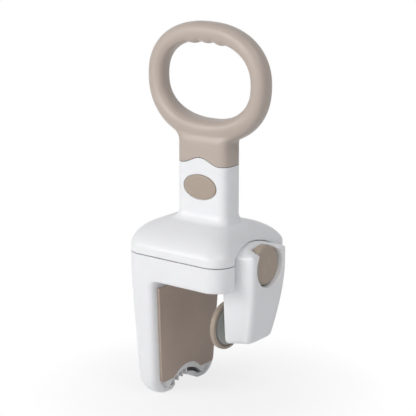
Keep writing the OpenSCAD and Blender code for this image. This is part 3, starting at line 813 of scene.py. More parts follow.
@dataclass
class Housing(Assembly):
    """The two white shells, the fixed jaw's plate and rubber, and what is inside."""

    dome_h: float = 32.0
    lip_h: float = 7.0
    seam: float = 1.1
    fillet_start: float = 0.78
    fillet_h: float = 10.0
    dome_power: float = 1.6
    dome_fullness: float = 1.6
    dome_fall: float = 0.85
    badge_w: float = 41.0
    badge_h: float = 25.5
    badge_gap: float = 0.9
    badge_depth: float = 1.6
    outer_lean: float = 3.5
    jaw_taper: float = 9.0
    jaw_r: float = 7.0
    toe_r: float = 18.0
    foot_r: float = 19.0
    throat_r: float = 10.0
    rib_t: float = 1.7
    rib_y: tuple[float, ...] = (-18.5, -11.5, -4.5, 2.5)
    plate_drop: float = 129.0
    plate_h: float = 52.8
    plate_t: float = 3.0
    bracket_z: tuple[float, float] = (-30.0, -68.0)
    plate_screw_y: float = 32.0
    plate_screw_z: tuple[float, float] = (-28.0, -78.0)
    boss_x: tuple[float, float] = (-14.0, 33.0)
    boss_y: float = 49.5
    boss_d: float = 12.0
    boss_top: float = 57.0
    pilot_top: float = 37.0
    bracket_boss_d: float = 12.0
    plate_boss_d: float = 9.0
    cover_pilot_d: float = 3.5
    cover_hole_d: float = 4.1
    cover_head_d: float = 8.4
    bush_d: float = 13.0
    plate_hole_d: float = 4.4
    plate_head_d: float = 8.0
    badge_drop: float = 24.0
    badge_profile: tuple[Flat, ...] = (
        (0.0, 0.0), (0.0, 0.5), (0.0, 1.5), (0.12, 1.85), (0.4, 2.1), (0.9, 2.25), (1.8, 2.34),
        (3.5, 2.42), (6.0, 2.48), (9.0, 2.5))

    @property
    def boss_places(self) -> list[Flat]:
        """Places of the cover screws' posts as (x, y)."""
        return [(x, y) for x in self.boss_x for y in (-self.boss_y, self.boss_y)]

    @property
    def plate_screw_places(self) -> list[Flat]:
        """Places of the plate's screws as (y, z)."""
        return [(y, z) for y in (-self.plate_screw_y, self.plate_screw_y)
                for z in self.plate_screw_z]

    def _dome_plan(self, f: float, off: float) -> list[Flat]:
        """Plan of the cover where it has come a share f of the way in to the neck.

        Args:
            f: Share of the way in.
            off: How far the plan is drawn in.

        Returns:
            The outline.
        """
        s = self.sizes
        h = mix(s.half, s.neck_d / 2, f) - off
        r = mix(s.body_r, s.neck_r, f) - 0.7 * off
        return plan(mix(-s.body_left, -s.neck_w / 2, f ** self.dome_fullness) + off,
                    mix(s.body_right, s.neck_w / 2, f ** self.dome_fall) - off, h, h, r, r, 12)

    def _dome_z(self, f: float) -> float:
        """Height of the dome at share f.

        Args:
            f: Share of the way in to the neck.

        Returns:
            The height.
        """
        p = self.dome_power
        rise = (1 - (1 - f) ** p) ** (1 / p)
        return self.sizes.beam_h + self.lip_h + (self.dome_h - self.lip_h) * rise

    def _dome(self, name: str, off: float, steps: int) -> Solid:
        """Solid of the dome and the neck, drawn in by off.

        Args:
            name: Name of the solid.
            off: How far it is drawn in.
            steps: Number of rings up the dome.

        Returns:
            The solid.
        """
        s = self.sizes
        rings = [at_height(self._dome_plan(0, off), s.beam_h - 4)]
        for i in range(steps + 1):
            f = self.fillet_start * (i / steps) ** 1.7
            rings.append(at_height(self._dome_plan(f, off), self._dome_z(f) - off))
        base = self._dome_z(self.fillet_start)
        bends = steps // 2
        for i in range(1, bends + 1):
            a = pi / 2 * i / bends
            f = self.fillet_start + (1 - self.fillet_start) * sin(a)
            rings.append(at_height(self._dome_plan(f, off), base - off * (1 - i / bends)
                                   + self.fillet_h * (1 - cos(a))))
        rings.append(at_height(self._dome_plan(1, off), s.grip_z + s.wave_rise + 10 + off))
        return loft(name, rings)

    def _bosses(self, top: float) -> list[Solid]:
        """Round posts for the cover's screws, from the rim seat up to a height."""
        return [post("boss", 0, top, self.boss_d, x, y) for x, y in self.boss_places]

    def cover(self) -> None:
        """Builds the dome and the neck with the badge's groove."""
        s = self.sizes
        piece = self._dome("dome_cover", off=0.0, steps=28)
        combine(piece, [s.pocket()])
        soften(piece, voxel=0.85, rounds=7)
        relax_near(piece, s.pocket_rim, rounds=24)
        combine(piece, [s.below_wave(0.5), box("joint", (-90, -90, s.beam_h), (90, 90, 200))],
                Cut.KEEP)
        inside = self._dome("dome_inside", off=s.wall, steps=12)
        combine(inside, self._bosses(self.boss_top) + [s.pocket(grow=3.0)])
        holes = [post("hole", 0, self.pilot_top, self.cover_pilot_d, x, y, 24)
                 for x, y in self.boss_places]
        nut = rod("nut_bore", s.pocket_x - s.end_wall, s.pocket_x + 1, s.nut_d, 0, s.screw_z)
        groove = self._oval("badge_groove", self.badge_gap, self.badge_depth, proud=3.0)
        combine(piece, [inside, nut, groove] + holes)
        self.deliver(piece, 40, WHITE_SHELL, "frame", "white_shell", "top_cover")

    def _oval(self, name: str, grow: float, depth: float, proud: float) -> Solid:
        """Oval prism into the neck's front face.

        Args:
            name: Name of the prism.
            grow: Gap to the badge.
            depth: Its depth into the neck.
            proud: How far it stands out.

        Returns:
            The prism.
        """
        s = self.sizes
        outline = [(x, s.grip_z - self.badge_drop + z)
                   for x, z in ellipse(self.badge_w / 2 + grow, self.badge_h / 2 + grow)]
        front = -s.neck_d / 2
        return prism(name, outline, Axis.Y, front - proud, front + depth)

    def badge(self) -> None:
        """Builds the plain oval badge with its pillowed face."""
        s = self.sizes
        back = -s.neck_d / 2 + self.badge_depth
        rings = []
        for inset, rise in self.badge_profile:
            rings.append([(x, back - rise, s.grip_z - self.badge_drop + z) for x, z
                          in ellipse(self.badge_w / 2 - inset, self.badge_h / 2 - inset)])
        piece = loft("oval_badge", rings)
        self.deliver(piece, 50, TAUPE_KNOB, "frame", "taupe_rubber", "badge")

    def _tuck(self, r: float, h: float) -> float:
        """How far an arc of radius r is drawn in at height h above its lowest point."""
        return r - sqrt(max(0.0, r * r - (r - h) ** 2)) if h < r else 0.0

    def _jaw_ring(self, z: float, inset: float = 0.0) -> Ring:
        """Plan of the fixed jaw's leg at height z.

        Args:
            z: Height above the rim seat.
            inset: How far the plan is drawn in.

        Returns:
            The plan.
        """
        s = self.sizes
        share = max(0.0, -z) / s.jaw_drop
        h = z + s.jaw_drop
        toe, side = 0.8 * self._tuck(self.toe_r, h), self._tuck(self.foot_r, h)
        x0 = -s.body_left + self.outer_lean * share + toe + inset
        flare = self._tuck(self.throat_r, -z) if z < 0 else self.throat_r
        x1 = s.rim_x + z * tan(s.jaw_lean) + flare
        half = s.half - self.jaw_taper * share - side - inset
        return at_height(plan(x0, x1, half, half, min(s.body_r, x1 - x0 - self.jaw_r - 1),
                              self.jaw_r, 12), z)

    def _notch(self, grow: float) -> Solid:
        """Round cutter of the arched notch in the foot."""
        s = self.sizes
        return rod("notch", -100, 0, 2 * (s.notch_r + grow), 0, s.notch_z, 160)

    def frame_shell(self) -> None:
        """Builds the beam with the fixed jaw's leg."""
        s = self.sizes
        piece = prism("lower_shell", plan(-s.body_left, s.body_right, s.half, s.half, s.body_r,
                                          s.body_r, 20), Axis.Z, 0, s.beam_h + 4)
        levels = [self.foot_r * (1 - sin(a)) for a in quarter(16)[14::-1]]
        rings = [self._jaw_ring(h - s.jaw_drop) for h in levels]
        rings += [self._jaw_ring(z, 0.1) for z in (-80, -50, -20)]
        rings += [self._jaw_ring(-self.throat_r * (1 - sin(a)), 0.1) for a in quarter(10)[:-1]]
        rings.append(self._jaw_ring(2, 0.1))
        leg = loft("leg", rings)
        combine(leg, [self._notch(0)])
        combine(piece, [leg], Cut.JOIN)
        combine(piece, [s.pocket()])
        soften(piece, voxel=1.05, rounds=9)
        relax_near(piece, s.pocket_rim, rounds=18)
        combine(piece, [box("joint", (-90, -90, s.beam_h - self.seam), (90, 90, 60))]
                + self._hollows())
        self.deliver(piece, 40, WHITE_SHELL, "frame", "white_shell", "lower_frame")

    def _behind(self, z: float) -> float:
        """Place of the plate's back face at height z."""
        return self.sizes.rim_x - self.plate_t + z * tan(self.sizes.jaw_lean)

    def _leg_hollow(self) -> Solid:
        """Cutter for the inside of the leg, which leaves the screw bosses.

        Returns:
            The cutter.
        """
        s = self.sizes
        low, h = -s.jaw_drop + 5.5, self.plate_h - 2
        h_low = h - self.jaw_taper - 1
        x0, x1 = -s.body_left + s.wall, s.rim_x + 2
        lean = x0 + self.outer_lean
        hollow = loft("hollow", [
            at_height(plan(lean + 9, x1, h_low - 14, h_low - 8, 7, 1, 8), low),
            at_height(plan(lean + 2, x1, h_low - 5, h_low - 2, 9, 1, 8), low + 12),
            at_height(plan(lean, x1, h_low, h_low + 1.5, 12, 1, 8), low + 24),
            at_height(plan(x0, x1, h, h, 14, 1, 8), -9)])
        outside, deep = -66, -58
        bosses = [rod("boss", outside, deep, self.bracket_boss_d, 0, z) for z in self.bracket_z]
        bosses += [rod("boss", outside, self._behind(z - self.plate_boss_d / 2),
                       self.plate_boss_d, y, z) for y, z in self.plate_screw_places]
        combine(hollow, [self._notch(s.wall)] + bosses)
        return hollow

    def _hollows(self) -> list[Solid]:
        """Cutters for the shell's insides, the plate's seat, the screw holes and the bores.

        Returns:
            The cutters.
        """
        s = self.sizes
        inside = prism("inside", plan(-s.body_left + s.wall, s.body_right - s.wall, s.half - s.wall,
                                      s.half - s.wall, s.body_r - s.wall, s.body_r - s.wall, 10),
                       Axis.Z, s.wall, s.beam_h + 2)
        h = s.outer_w / 2 + 4
        block = box("block", (s.pocket_x - s.end_wall, -h, -1), (s.body_right + 9, h, s.beam_h + 4))
        combine(inside, self._bosses(s.beam_h + 5) + [block])
        outline = self._plate_outline(drop=self.plate_drop + 0.2, top=-9, h=self.plate_h + 0.2,
                                      r=self.foot_r, grow=7.8)
        seat = self._slab("seat", outline, back=self.plate_t, front=-1.0, edge=0.05)
        cutters = [inside, self._leg_hollow(), seat]
        cutters.append(box("bracket_way", (-61, -21, -10), (-45, 21, 5.5)))
        cutters.append(box("rib_window", (-55, self.rib_y[0] - self.rib_t, -s.jaw_drop - 5),
                           (s.rim_x, self.rib_y[-1] + self.rib_t / 2, -108)))
        for x, y in self.boss_places:
            cutters.append(post("counterbore", -2, 8, self.cover_head_d, x, y))
            cutters.append(post("hole", 7, 30, self.cover_hole_d, x, y, 24))
        for d, y, z in ((s.nut_d, 0, s.screw_z), (self.bush_d, -s.rod_y, s.rod_z),
                        (self.bush_d, s.rod_y, s.rod_z)):
            cutters.append(rod("end_wall_bore", s.pocket_x - s.end_wall - 1, s.pocket_x + 1,
                               d, y, z))
        return cutters

    def ribs(self) -> None:
        """Builds the upright ribs inside the foot with a node tree."""
        s = self.sizes
        top, low, front, deep = -104.0, -s.jaw_drop + 0.7, s.rim_x - 4.9, -55.0
        outline = [(deep, top), (deep, low), (front, low), (front, -112), (front - 2.8, -110),
                   (front - 2.8, top)]
        rib = prism("rib", outline, Axis.Y, -self.rib_t / 2, self.rib_t / 2)
        points = [(0, y, 0) for y in self.rib_y]
        piece = instances_at("foot_ribs", points, rib, self.finishes.get(WHITE_SHELL))
        combine(piece, [self._notch(0)])
        self.deliver(piece, 32, WHITE_SHELL, "frame", "white_shell")

    def _plate_outline(self, drop: float, top: float, h: float, r: float,
                       grow: float | None = None, lift: float = 0.0) -> list[Flat]:
        """Outline of the plate or its rubber as [y, z].

        Args:
            drop: Depth of its lower edge below the rim seat.
            top: Height of its upper edge.
            h: Half width at the top.
            r: Radius of the lower corners.
            grow: Gap to the foot's arched notch; with None the outline has no arch.
            lift: How much higher than the foot's the arch sits.

        Returns:
            The outline.
        """
        s = self.sizes
        low = h - self.jaw_taper * (drop - r) / s.jaw_drop
        points = [(h, top), (-h, top)] + corner(-low + r, -drop + r, r, 180, 14)
        if grow is not None:
            radius, centre = s.notch_r + grow, s.notch_z + lift
            half = sqrt(max(1.0, radius ** 2 - (-drop - centre) ** 2))
            first, last = atan2(-drop - centre, -half), atan2(-drop - centre, half)
            points += [(radius * cos(a), centre + radius * sin(a))
                       for a in (mix(first, last, i / s.arch_steps)
                                 for i in range(s.arch_steps + 1))]
        return points + corner(low - r, -drop + r, r, 270, 14)

    def _slab(self, name: str, outline: list[Flat], back: float, front: float,
              edge: float) -> Solid:
        """Slab on the leaning inner face with a rounded front rim.

        Args:
            name: Name of the object.
            outline: Outline as [y, z].
            back: Depth of its back behind the rim plane.
            front: Depth of its front, negative when proud.
            edge: Radius of the front rim.

        Returns:
            The slab.
        """
        s = self.sizes
        cy = sum(p[0] for p in outline) / len(outline)
        cz = (min(p[1] for p in outline) + max(p[1] for p in outline)) / 2
        reach = max(abs(p[0]) for p in outline)
        rise = max(abs(p[1] - cz) for p in outline)
        rings = []
        depths = [(back, 0.0)] + [(front + edge * (1 - sin(a)), edge * (1 - cos(a)))
                                  for a in quarter(5)]
        for depth, inset in depths:
            ky, kz = 1 - inset / reach, 1 - inset / rise
            ring = []
            for y, z in outline:
                z2 = cz + (z - cz) * kz
                ring.append((s.rim_x - depth + z2 * tan(s.jaw_lean), cy + (y - cy) * ky, z2))
            rings.append(ring)
        return loft(name, rings)

    def jaw_rubber(self) -> None:
        """Builds the rubber sheet of the fixed jaw."""
        outline = self._plate_outline(drop=self.sizes.jaw_drop - 14.5, top=-10,
                                      h=self.plate_h - 0.6, r=4, grow=3.5, lift=11.5)
        piece = self._slab("jaw_rubber", outline, back=0.05, front=-3.0, edge=0.9)
        self.deliver(piece, 35, JAW_RUBBER, "frame", "pad_rubber", "fixed_jaw_pad")

    def jaw_plate(self) -> None:
        """Builds the white plate behind that rubber."""
        s = self.sizes
        outline = self._plate_outline(drop=self.plate_drop, top=-9.2, h=self.plate_h, r=self.foot_r)
        piece = self._slab("jaw_plate", outline, back=self.plate_t, front=0.0, edge=0.4)
        holes = [self._notch(8)]
        for y, z in self.plate_screw_places:
            holes.append(rod("hole", s.rim_x - 12, s.rim_x + 2, self.plate_hole_d, y, z, 32))
            holes.append(rod("head_hole", self._behind(z) + 1.2, s.rim_x + 2, self.plate_head_d,
                             y, z, 32))
        combine(piece, holes)
        self.deliver(piece, 35, WHITE_SHELL, "frame", "white_shell", "fixed_jaw_plate")

    def cover_screws(self) -> None:
        """Builds the screws that hold the two shells together with a node tree."""
        head = screw_shape("cover_screw", head_d=7.6, head_h=3.0, shank_d=3.5, length=26)
        turn = Matrix.Rotation(pi, 4, "X")
        head.data.transform(turn)
        head.data.transform(Matrix.Translation((0, 0, 5.0 * MM)))
        points = [(x, y, 0) for x, y in self.boss_places]
        piece = instances_at("cover_screw_set", points, head, self.finishes.get(STEEL))
        self.deliver(piece, 32, STEEL, "frame", "steel", "cover_screws")

    def build(self) -> None:
        """Builds every piece of the housing."""
        self.cover()
        self.badge()
        self.frame_shell()
        self.ribs()
        self.jaw_plate()
        self.jaw_rubber()
        self.cover_screws()


def screw_shape(name: str, head_d: float, head_h: float, shank_d: float,
                length: float) -> Solid:
    """Cross-recessed screw that points down, with its head's top at z = 0.

    Args:
        name: Name of the object.
        head_d: Diameter of the head.
        head_h: Height of the head.
        shank_d: Diameter of the shank.
        length: Length of the shank.

    Returns:
        The screw.
    """
    r = head_d / 2
    profile = [(-head_h - length, 0.01), (-head_h - length, shank_d / 2), (-head_h, shank_d / 2),
               (-head_h, r * 0.97), (-head_h * 0.5, r), (-head_h * 0.2, r * 0.9),
               (-head_h * 0.05, r * 0.7), (0, r * 0.45), (0, 0.01)]
    screw = turned(name, profile, Axis.Z, (0, 0), 32)
    arm, wide, deep = head_d * 0.26, head_d * 0.06, head_h * 0.6
    slots = [box("slot_a", (-arm, -wide, -deep), (arm, wide, 1)),
             box("slot_b", (-wide, -arm, -deep), (wide, arm, 1))]
    combine(screw, slots)
    return screw


@dataclass
class Grip(Assembly):
    """The loop grip's soft skin with its finger ridges and wavy skirt."""

    loop_w: float = 151.0
    loop_h: float = 119.5
    loop_t: float = 20.0
    loop_d: float = 21.5
    heel: float = 5.0
    root_d: float = 28.6
    flare_r: float = 6.0
    power: float = 2.25
    squareness: float = 0.85
    finger_rise: float = 2.4
    finger_pitch: float = 17.5
    bottom: float = 144.5
    steps: int = 220
    sides: int = 48

    def _centre(self, a: float) -> Flat:
        """Point of the loop's centre line at angle a, about the loop's middle.

        Args:
            a: Angle in radians.

        Returns:
            The point as (x, z).
        """
        w, h = (self.loop_w - self.loop_t) / 2, (self.loop_h - self.loop_t) / 2
        c, s = cos(a), sin(a)
        return w * bent(c, 2 / self.power), h * bent(s, 2 / self.power)

    def _finger(self, a: float) -> float:
        """Extra thickness under the top bar for the finger ridges.

        Args:
            a: Angle in radians.

        Returns:
            The extra thickness.
        """
        x = self._centre(a)[0]
        if sin(a) <= 0 or abs(x) >= 1.5 * self.finger_pitch:
            return 0.0
        return self.finger_rise * abs(cos(pi * x / self.finger_pitch))

    def _ring(self) -> Solid:
        """Skin of the closed loop.

        Returns:
            The skin.
        """
        t, d = self.loop_t / 2, self.loop_d / 2
        middle = self.bottom + self.loop_h / 2
        rings = []
        for i in range(self.steps):
            a = 2 * pi * (i + 0.5) / self.steps
            x, z = self._centre(a)
            before, after = self._centre(a - 0.017), self._centre(a + 0.017)
            tx, tz = after[0] - before[0], after[1] - before[1]
            length = hypot(tx, tz)
            n = (tz / length, -tx / length)
            heel = self.heel * max(0.0, -sin(a)) ** 2
            finger = self._finger(a)
            deep = mix(d, self.root_d / 2, max(0.0, -sin(a)) ** 3)
            ring = []
            for j in range(self.sides):
                b = 2 * pi * j / self.sides
                c, q = bent(cos(b), self.squareness), bent(sin(b), self.squareness)
                r = t * c + (c * heel if c > 0 else c * finger)
                ring.append((x + n[0] * r, deep * q, middle + z + n[1] * r))
            rings.append(ring)
        return loft("grip_skin", rings, closed=True)

    def _flare(self, t: float) -> float:
        """How far the skirt spreads at t above its straight part."""
        return self.flare_r - sqrt(max(0.0, self.flare_r ** 2 - t * t))

    def _root(self, points: np.ndarray) -> np.ndarray:
        """Share of the smoothing that each point near the loop's root gets."""
        away = np.abs(points[:, 2] - self.bottom - 2.5) - 9
        return 1.0 - np.maximum(away, np.abs(points[:, 0]) - 46) / 4

    def build(self) -> None:
        """Builds the grip's skin as one moulding."""
        s = self.sizes
        piece = self._ring()
        levels = [(0.0, 0.0, s.grip_z - 9)]
        levels += [(-self._flare(t), 0.35 * self._flare(t), self.bottom - 3 + t)
                   for t in (self.flare_r * i / 8 for i in range(9))]
        levels += [(2.0, 4.0, self.bottom + self.flare_r), (8.0, 8.0, self.bottom + 9)]
        skirt = loft("skirt", [at_height(plan(-s.neck_w / 2 + i, s.neck_w / 2 - i, s.neck_d / 2 - k,
                                              s.neck_d / 2 - k, s.neck_r - k, s.neck_r - k, 12), z)
                               for i, k, z in levels])
        combine(piece, [skirt], Cut.JOIN)
        soften(piece, voxel=0.8, rounds=6)
        relax_near(piece, self._root, rounds=70)
        combine(piece, [s.below_wave(-0.25)])
        self.deliver(piece, 40, TAUPE_SKIN, "frame", "taupe_rubber", "grip_overmould")


@dataclass
class SlidingJaw(Assembly):
    """The white outer jaw with the seat for its back plate, and the back plate's screws."""

    thick: float = 37.0
    drop: float = 62.5
    top: float = 42.5
    edge_r: float = 6.5
    toe: float = 5.5
    lip: float = 3.0
    recess_d: float = 44.6
    recess_x: float = 63.7
    back_h: float = 21.0
    back_low: float = -59.5
    back_top: float = -10.0
    bore_d: float = 10.2
    clip_d: float = 17.0
    back_screw_y: float = 14.0
    back_screw_z: float = -24.0
    brow: tuple[Flat, ...] = ((-1, 9.5), (1.2, 7.2), (3.5, 5.9), (11.5, 4.4), (17, 2.4), (23, 0))

    def _ring(self, z: float, toe: float = 0.0) -> Ring:
        """Plan of the jaw at height z.

        Args:
            z: Height above the rim seat.
            toe: How far it is drawn in.

        Returns:
            The plan.
        """
        s = self.sizes
        share = max(0.0, (16 - z) / (16 + self.drop))
        x1 = s.outer_x + self.thick - 12 * share ** 1.7 - toe
        inner = s.outer_w / 2 - 5 * share ** 1.3 - toe
        outer = s.outer_w / 2 - 9.5 * share ** 1.3 - 4 - toe
        return at_height(plan(s.outer_x, x1, inner, outer, 3, self.edge_r, 12), z)

    def _lip(self, points: np.ndarray) -> np.ndarray:
        """Share of the smoothing that each point near the knob recess's mouth gets.

        Args:
            points: Points in millimetres, one in each row.

        Returns:
            Each point's share.
        """
        x, y, z = points.T
        away = np.abs(np.hypot(y, z - self.sizes.screw_z) - self.recess_d / 2)
        return np.where(x > self.recess_x + 6, 1.4 - away / self.lip, 0.0)

    def shell(self) -> None:
        """Builds the jaw with its knob recess."""
        s = self.sizes
        rings = []
        for a in reversed(quarter(8)[1:]):
            rings.append(self._ring(-self.drop + self.toe * (1 - sin(a)),
                                    self.toe * (1 - cos(a))))
        level, step = -self.drop + self.toe, 4
        while level < self.top - step / 2:
            rings.append(self._ring(level))
            level += step
        rings.append(self._ring(self.top + 1))
        piece = loft("sliding_jaw_shell", rings)
        radius, cz = s.pocket_r - 0.5, self.top - s.pocket_r + 0.5
        arch = [(-50, -80), (50, -80)] + [
            (y, cz + sqrt(radius ** 2 - y * y)) for y in (50 - 2.5 * i for i in range(41))]
        face = s.outer_x + self.thick
        brow = [(s.outer_x - 1, -80), (face + 1, -80)]
        brow += [(face - inset, self.top - fall) for inset, fall in self.brow]
        brow.append((s.outer_x - 1, self.top))
        combine(piece, [prism("arch", arch, Axis.X, 30, 90), prism("brow", brow, Axis.Y, -60, 60)],
                Cut.KEEP)
        combine(piece, [rod("recess", self.recess_x, 90, self.recess_d, 0, s.screw_z, 128)])
        soften(piece, voxel=0.75, rounds=9)
        relax_near(piece, self._lip, rounds=12)
        seat = box("plate_seat", (s.outer_x - 2, -self.back_h, self.back_low),
                   (s.outer_x + 3, self.back_h, self.back_top))
        hollow = box("hollow", (s.outer_x, -self.back_h + 1.5, self.back_low + 1.5),
                     (s.outer_x + 18, self.back_h - 1.5, self.back_top - 1.5))
        bore = rod("bore", s.outer_x - 3, self.recess_x + 3, self.bore_d, 0, s.screw_z)
        clip = rod("clip_seat", s.outer_x - 3, s.outer_x + 3, self.clip_d, 0, s.screw_z)
        combine(piece, [seat, hollow, bore, clip])
        self.deliver(piece, 40, WHITE_SHELL, "sliding_jaw", "white_shell", "outer_jaw")

    def screws(self) -> None:
        """Builds the back plate's screws with a node tree."""
        s = self.sizes
        screw = screw_shape("back_screw", head_d=6.6, head_h=1.4, shank_d=3.5, length=12)
        screw.data.transform(Matrix.Rotation(-pi / 2, 4, "Y"))
        points = [(s.outer_x + 0.2, y, self.back_screw_z)
                  for y in (-self.back_screw_y, self.back_screw_y)]
        piece = instances_at("back_screw_set", points, screw, self.finishes.get(STEEL))
        self.deliver(piece, 32, STEEL, "sliding_jaw", "steel", "back_screws")

    def build(self) -> None:
        """Builds every piece of the sliding jaw."""
        self.shell()
        self.screws()


@dataclass
class ClampScrew(Assembly):
    """The knob and the threaded screw that it turns."""

    knob_x: float = 64.75
    knob_d: float = 42.0
    knob_t: float = 10.0
    rim: float = 3.4
    screw_d: float = 10.0
    screw_in: float = -44.0
    thread_end: float = 40.0
    thread_depth: float = 0.9
    pitch: float = 3.0
    hub_d: float = 18.0
    groove: Flat = (43.0, 45.0)
    tail: float = 71.2

    def knob(self) -> None:
        """Builds the knob with its rounded rims and slightly dished face."""
        s = self.sizes
        profile = rounded_ends(self.knob_x, self.knob_x + self.knob_t, self.knob_d / 2, e0=1.2,
                               e1=self.rim, steps=8)
        face = self.knob_x + self.knob_t
        profile = profile[:-1] + [
            (face - 0.05, self.knob_d / 2 - 5), (face - 0.25, self.knob_d / 2 - 9),
            (face - 0.35, 5.0), (face - 0.36, 0.01)]
        piece = turned("knob_cap", profile, Axis.X, (0, s.screw_z), 128)
        bore = rod("hub_bore", self.knob_x - 1, self.knob_x + 8, self.hub_d, 0, s.screw_z)
        combine(piece, [bore])
        self.deliver(piece, 35, TAUPE_KNOB, "clamp_screw", "taupe_rubber", "knob")

    def screw(self) -> None:
        """Builds the screw with its thread wound by a node tree."""
        s = self.sizes
        tree = Tree("thread_tree")
        turns, radius = tree.value("Turns"), tree.value("Radius")
        length, tooth = tree.value("Length"), tree.value("Tooth")
        spiral = tree.add("GeometryNodeCurveSpiral", Resolution=40, Rotations=turns,
                          Start_Radius=radius, End_Radius=radius, Height=length)
        section = tree.add("GeometryNodeCurvePrimitiveCircle", Resolution=6, Radius=tooth)
        tube = tree.add("GeometryNodeCurveToMesh", Curve=spiral.outputs["Curve"],
                        Profile_Curve=section.outputs["Curve"], Fill_Caps=True)
        tree.finish(tube.outputs["Mesh"], self.finishes.get(SCREW_STEEL))
        span = self.thread_end - self.screw_in - 6
        piece = tree.build("clamp_screw_rod", {
            "Turns": span / self.pitch, "Radius": (self.screw_d / 2 - self.thread_depth) * MM,
            "Length": span * MM, "Tooth": self.thread_depth * MM})
        turn = Matrix.Translation(((self.screw_in + 3) * MM, 0, s.screw_z * MM))
        piece.data.transform(turn @ Matrix.Rotation(pi / 2, 4, "Y"))
        full_r = self.screw_d / 2
        core_r, (start, stop) = full_r - self.thread_depth, self.groove
        shank = turned("shank", [
            (self.screw_in, 0.01), (self.screw_in, core_r - 1), (self.screw_in + 1, core_r),
            (self.thread_end - 2, core_r), (self.thread_end, full_r), (start, full_r),
            (start + 0.1, full_r - 0.8), (stop, full_r - 0.8), (stop + 0.1, full_r),
            (self.tail, full_r), (self.tail, 0.01)], Axis.X, (0, s.screw_z), 64)
        work = bmesh.new()
        work.from_mesh(piece.data)
        work.from_mesh(shank.data)
        work.to_mesh(piece.data)
        work.free()
        bpy.data.objects.remove(shank)
        self.deliver(piece, 40, SCREW_STEEL, "clamp_screw", "steel", "lead_screw")

    def build(self) -> None:
        """Builds every piece of the clamp screw."""
        self.knob()
        self.screw()


@dataclass
class SwivelPad(Assembly):
    """The round rubber pad and its plate with the socket boss."""

    back: float = 27.2
    front: float = 20.2
    pad_d: float = 52.0
    plate_d: float = 43.0
    boss_r: float = 10.3
    boss_back: float = 36.0
    socket_r: float = 8.1
    mouth: float = 2.4
    mouth_r: float = 7.2
    mouth_x: float = 33.6
    grooves: tuple[float, ...] = (9.5, 14.0, 18.5)
    plate_t: float = 2.8

    def rubber(self) -> None:
        """Builds the rubber disc with its rolled rim and shallow face rings."""
        s = self.sizes
        r = self.pad_d / 2
        profile = [(self.front + 0.5, 0.01), (self.front + 0.5, 8.0)]
        for groove in self.grooves:
            profile += [(self.front + 0.35, groove - 0.9), (self.front + 0.9, groove - 0.4),
                        (self.front + 0.9, groove + 0.4), (self.front + 0.3, groove + 0.9)]
        profile += [(self.front + 0.1, r - 3.2)]
        rim = rounded_ends(self.front, self.back - 0.6, r, e0=2.0, e1=1.6, steps=8)
        profile += rim[1:-1]
        profile += [(self.back - 0.6, self.plate_d / 2 + 1.3),
                    (self.back - 2.4, self.plate_d / 2 + 0.9),
                    (self.back - 2.6, self.plate_d / 2), (self.back - 2.6, 0.01)]
        piece = turned("pad_disc", profile, Axis.X, (0, s.swivel_z), 128)
        self.deliver(piece, 38, TAUPE_KNOB, "swivel_pad", "taupe_rubber", "pad_rubber")

    def plate(self) -> None:
        """Builds the plate and the boss round the ball."""
        s = self.sizes
        r, b = self.plate_d / 2 - 0.5, self.boss_r
        face = self.back - self.plate_t
        profile = [(face, 0.01), (face, r), (self.back - 0.8, r), (self.back - 0.25, r - 0.2),
                   (self.back, r - 0.7), (self.back, b + 1.6), (self.back + 0.5, b + 0.5),
                   (self.back + 1.6, b), (self.boss_back - 0.8, b),
                   (self.boss_back - 0.2, b - 0.25), (self.boss_back, b - 0.8),
                   (self.boss_back, self.mouth_r), (self.mouth_x, self.mouth_r)]
        steps, start = 14, acos(self.mouth / self.socket_r)
        for i in range(steps + 1):
            a = mix(start, pi, i / steps)
            profile.append((s.ball_x + self.socket_r * cos(a),
                            max(0.01, self.socket_r * sin(a))))
        cup = [p for p in profile if p[0] >= face or p[1] > 8.0]
        piece = turned("pad_back_plate", cup, Axis.X, (0, s.swivel_z), 128)
        self.deliver(piece, 38, SWIVEL_PLASTIC, "swivel_pad", "swivel_plastic", "pad_plate")

    def build(self) -> None:
        """Builds both pieces of the pad."""
        self.rubber()
        self.plate()


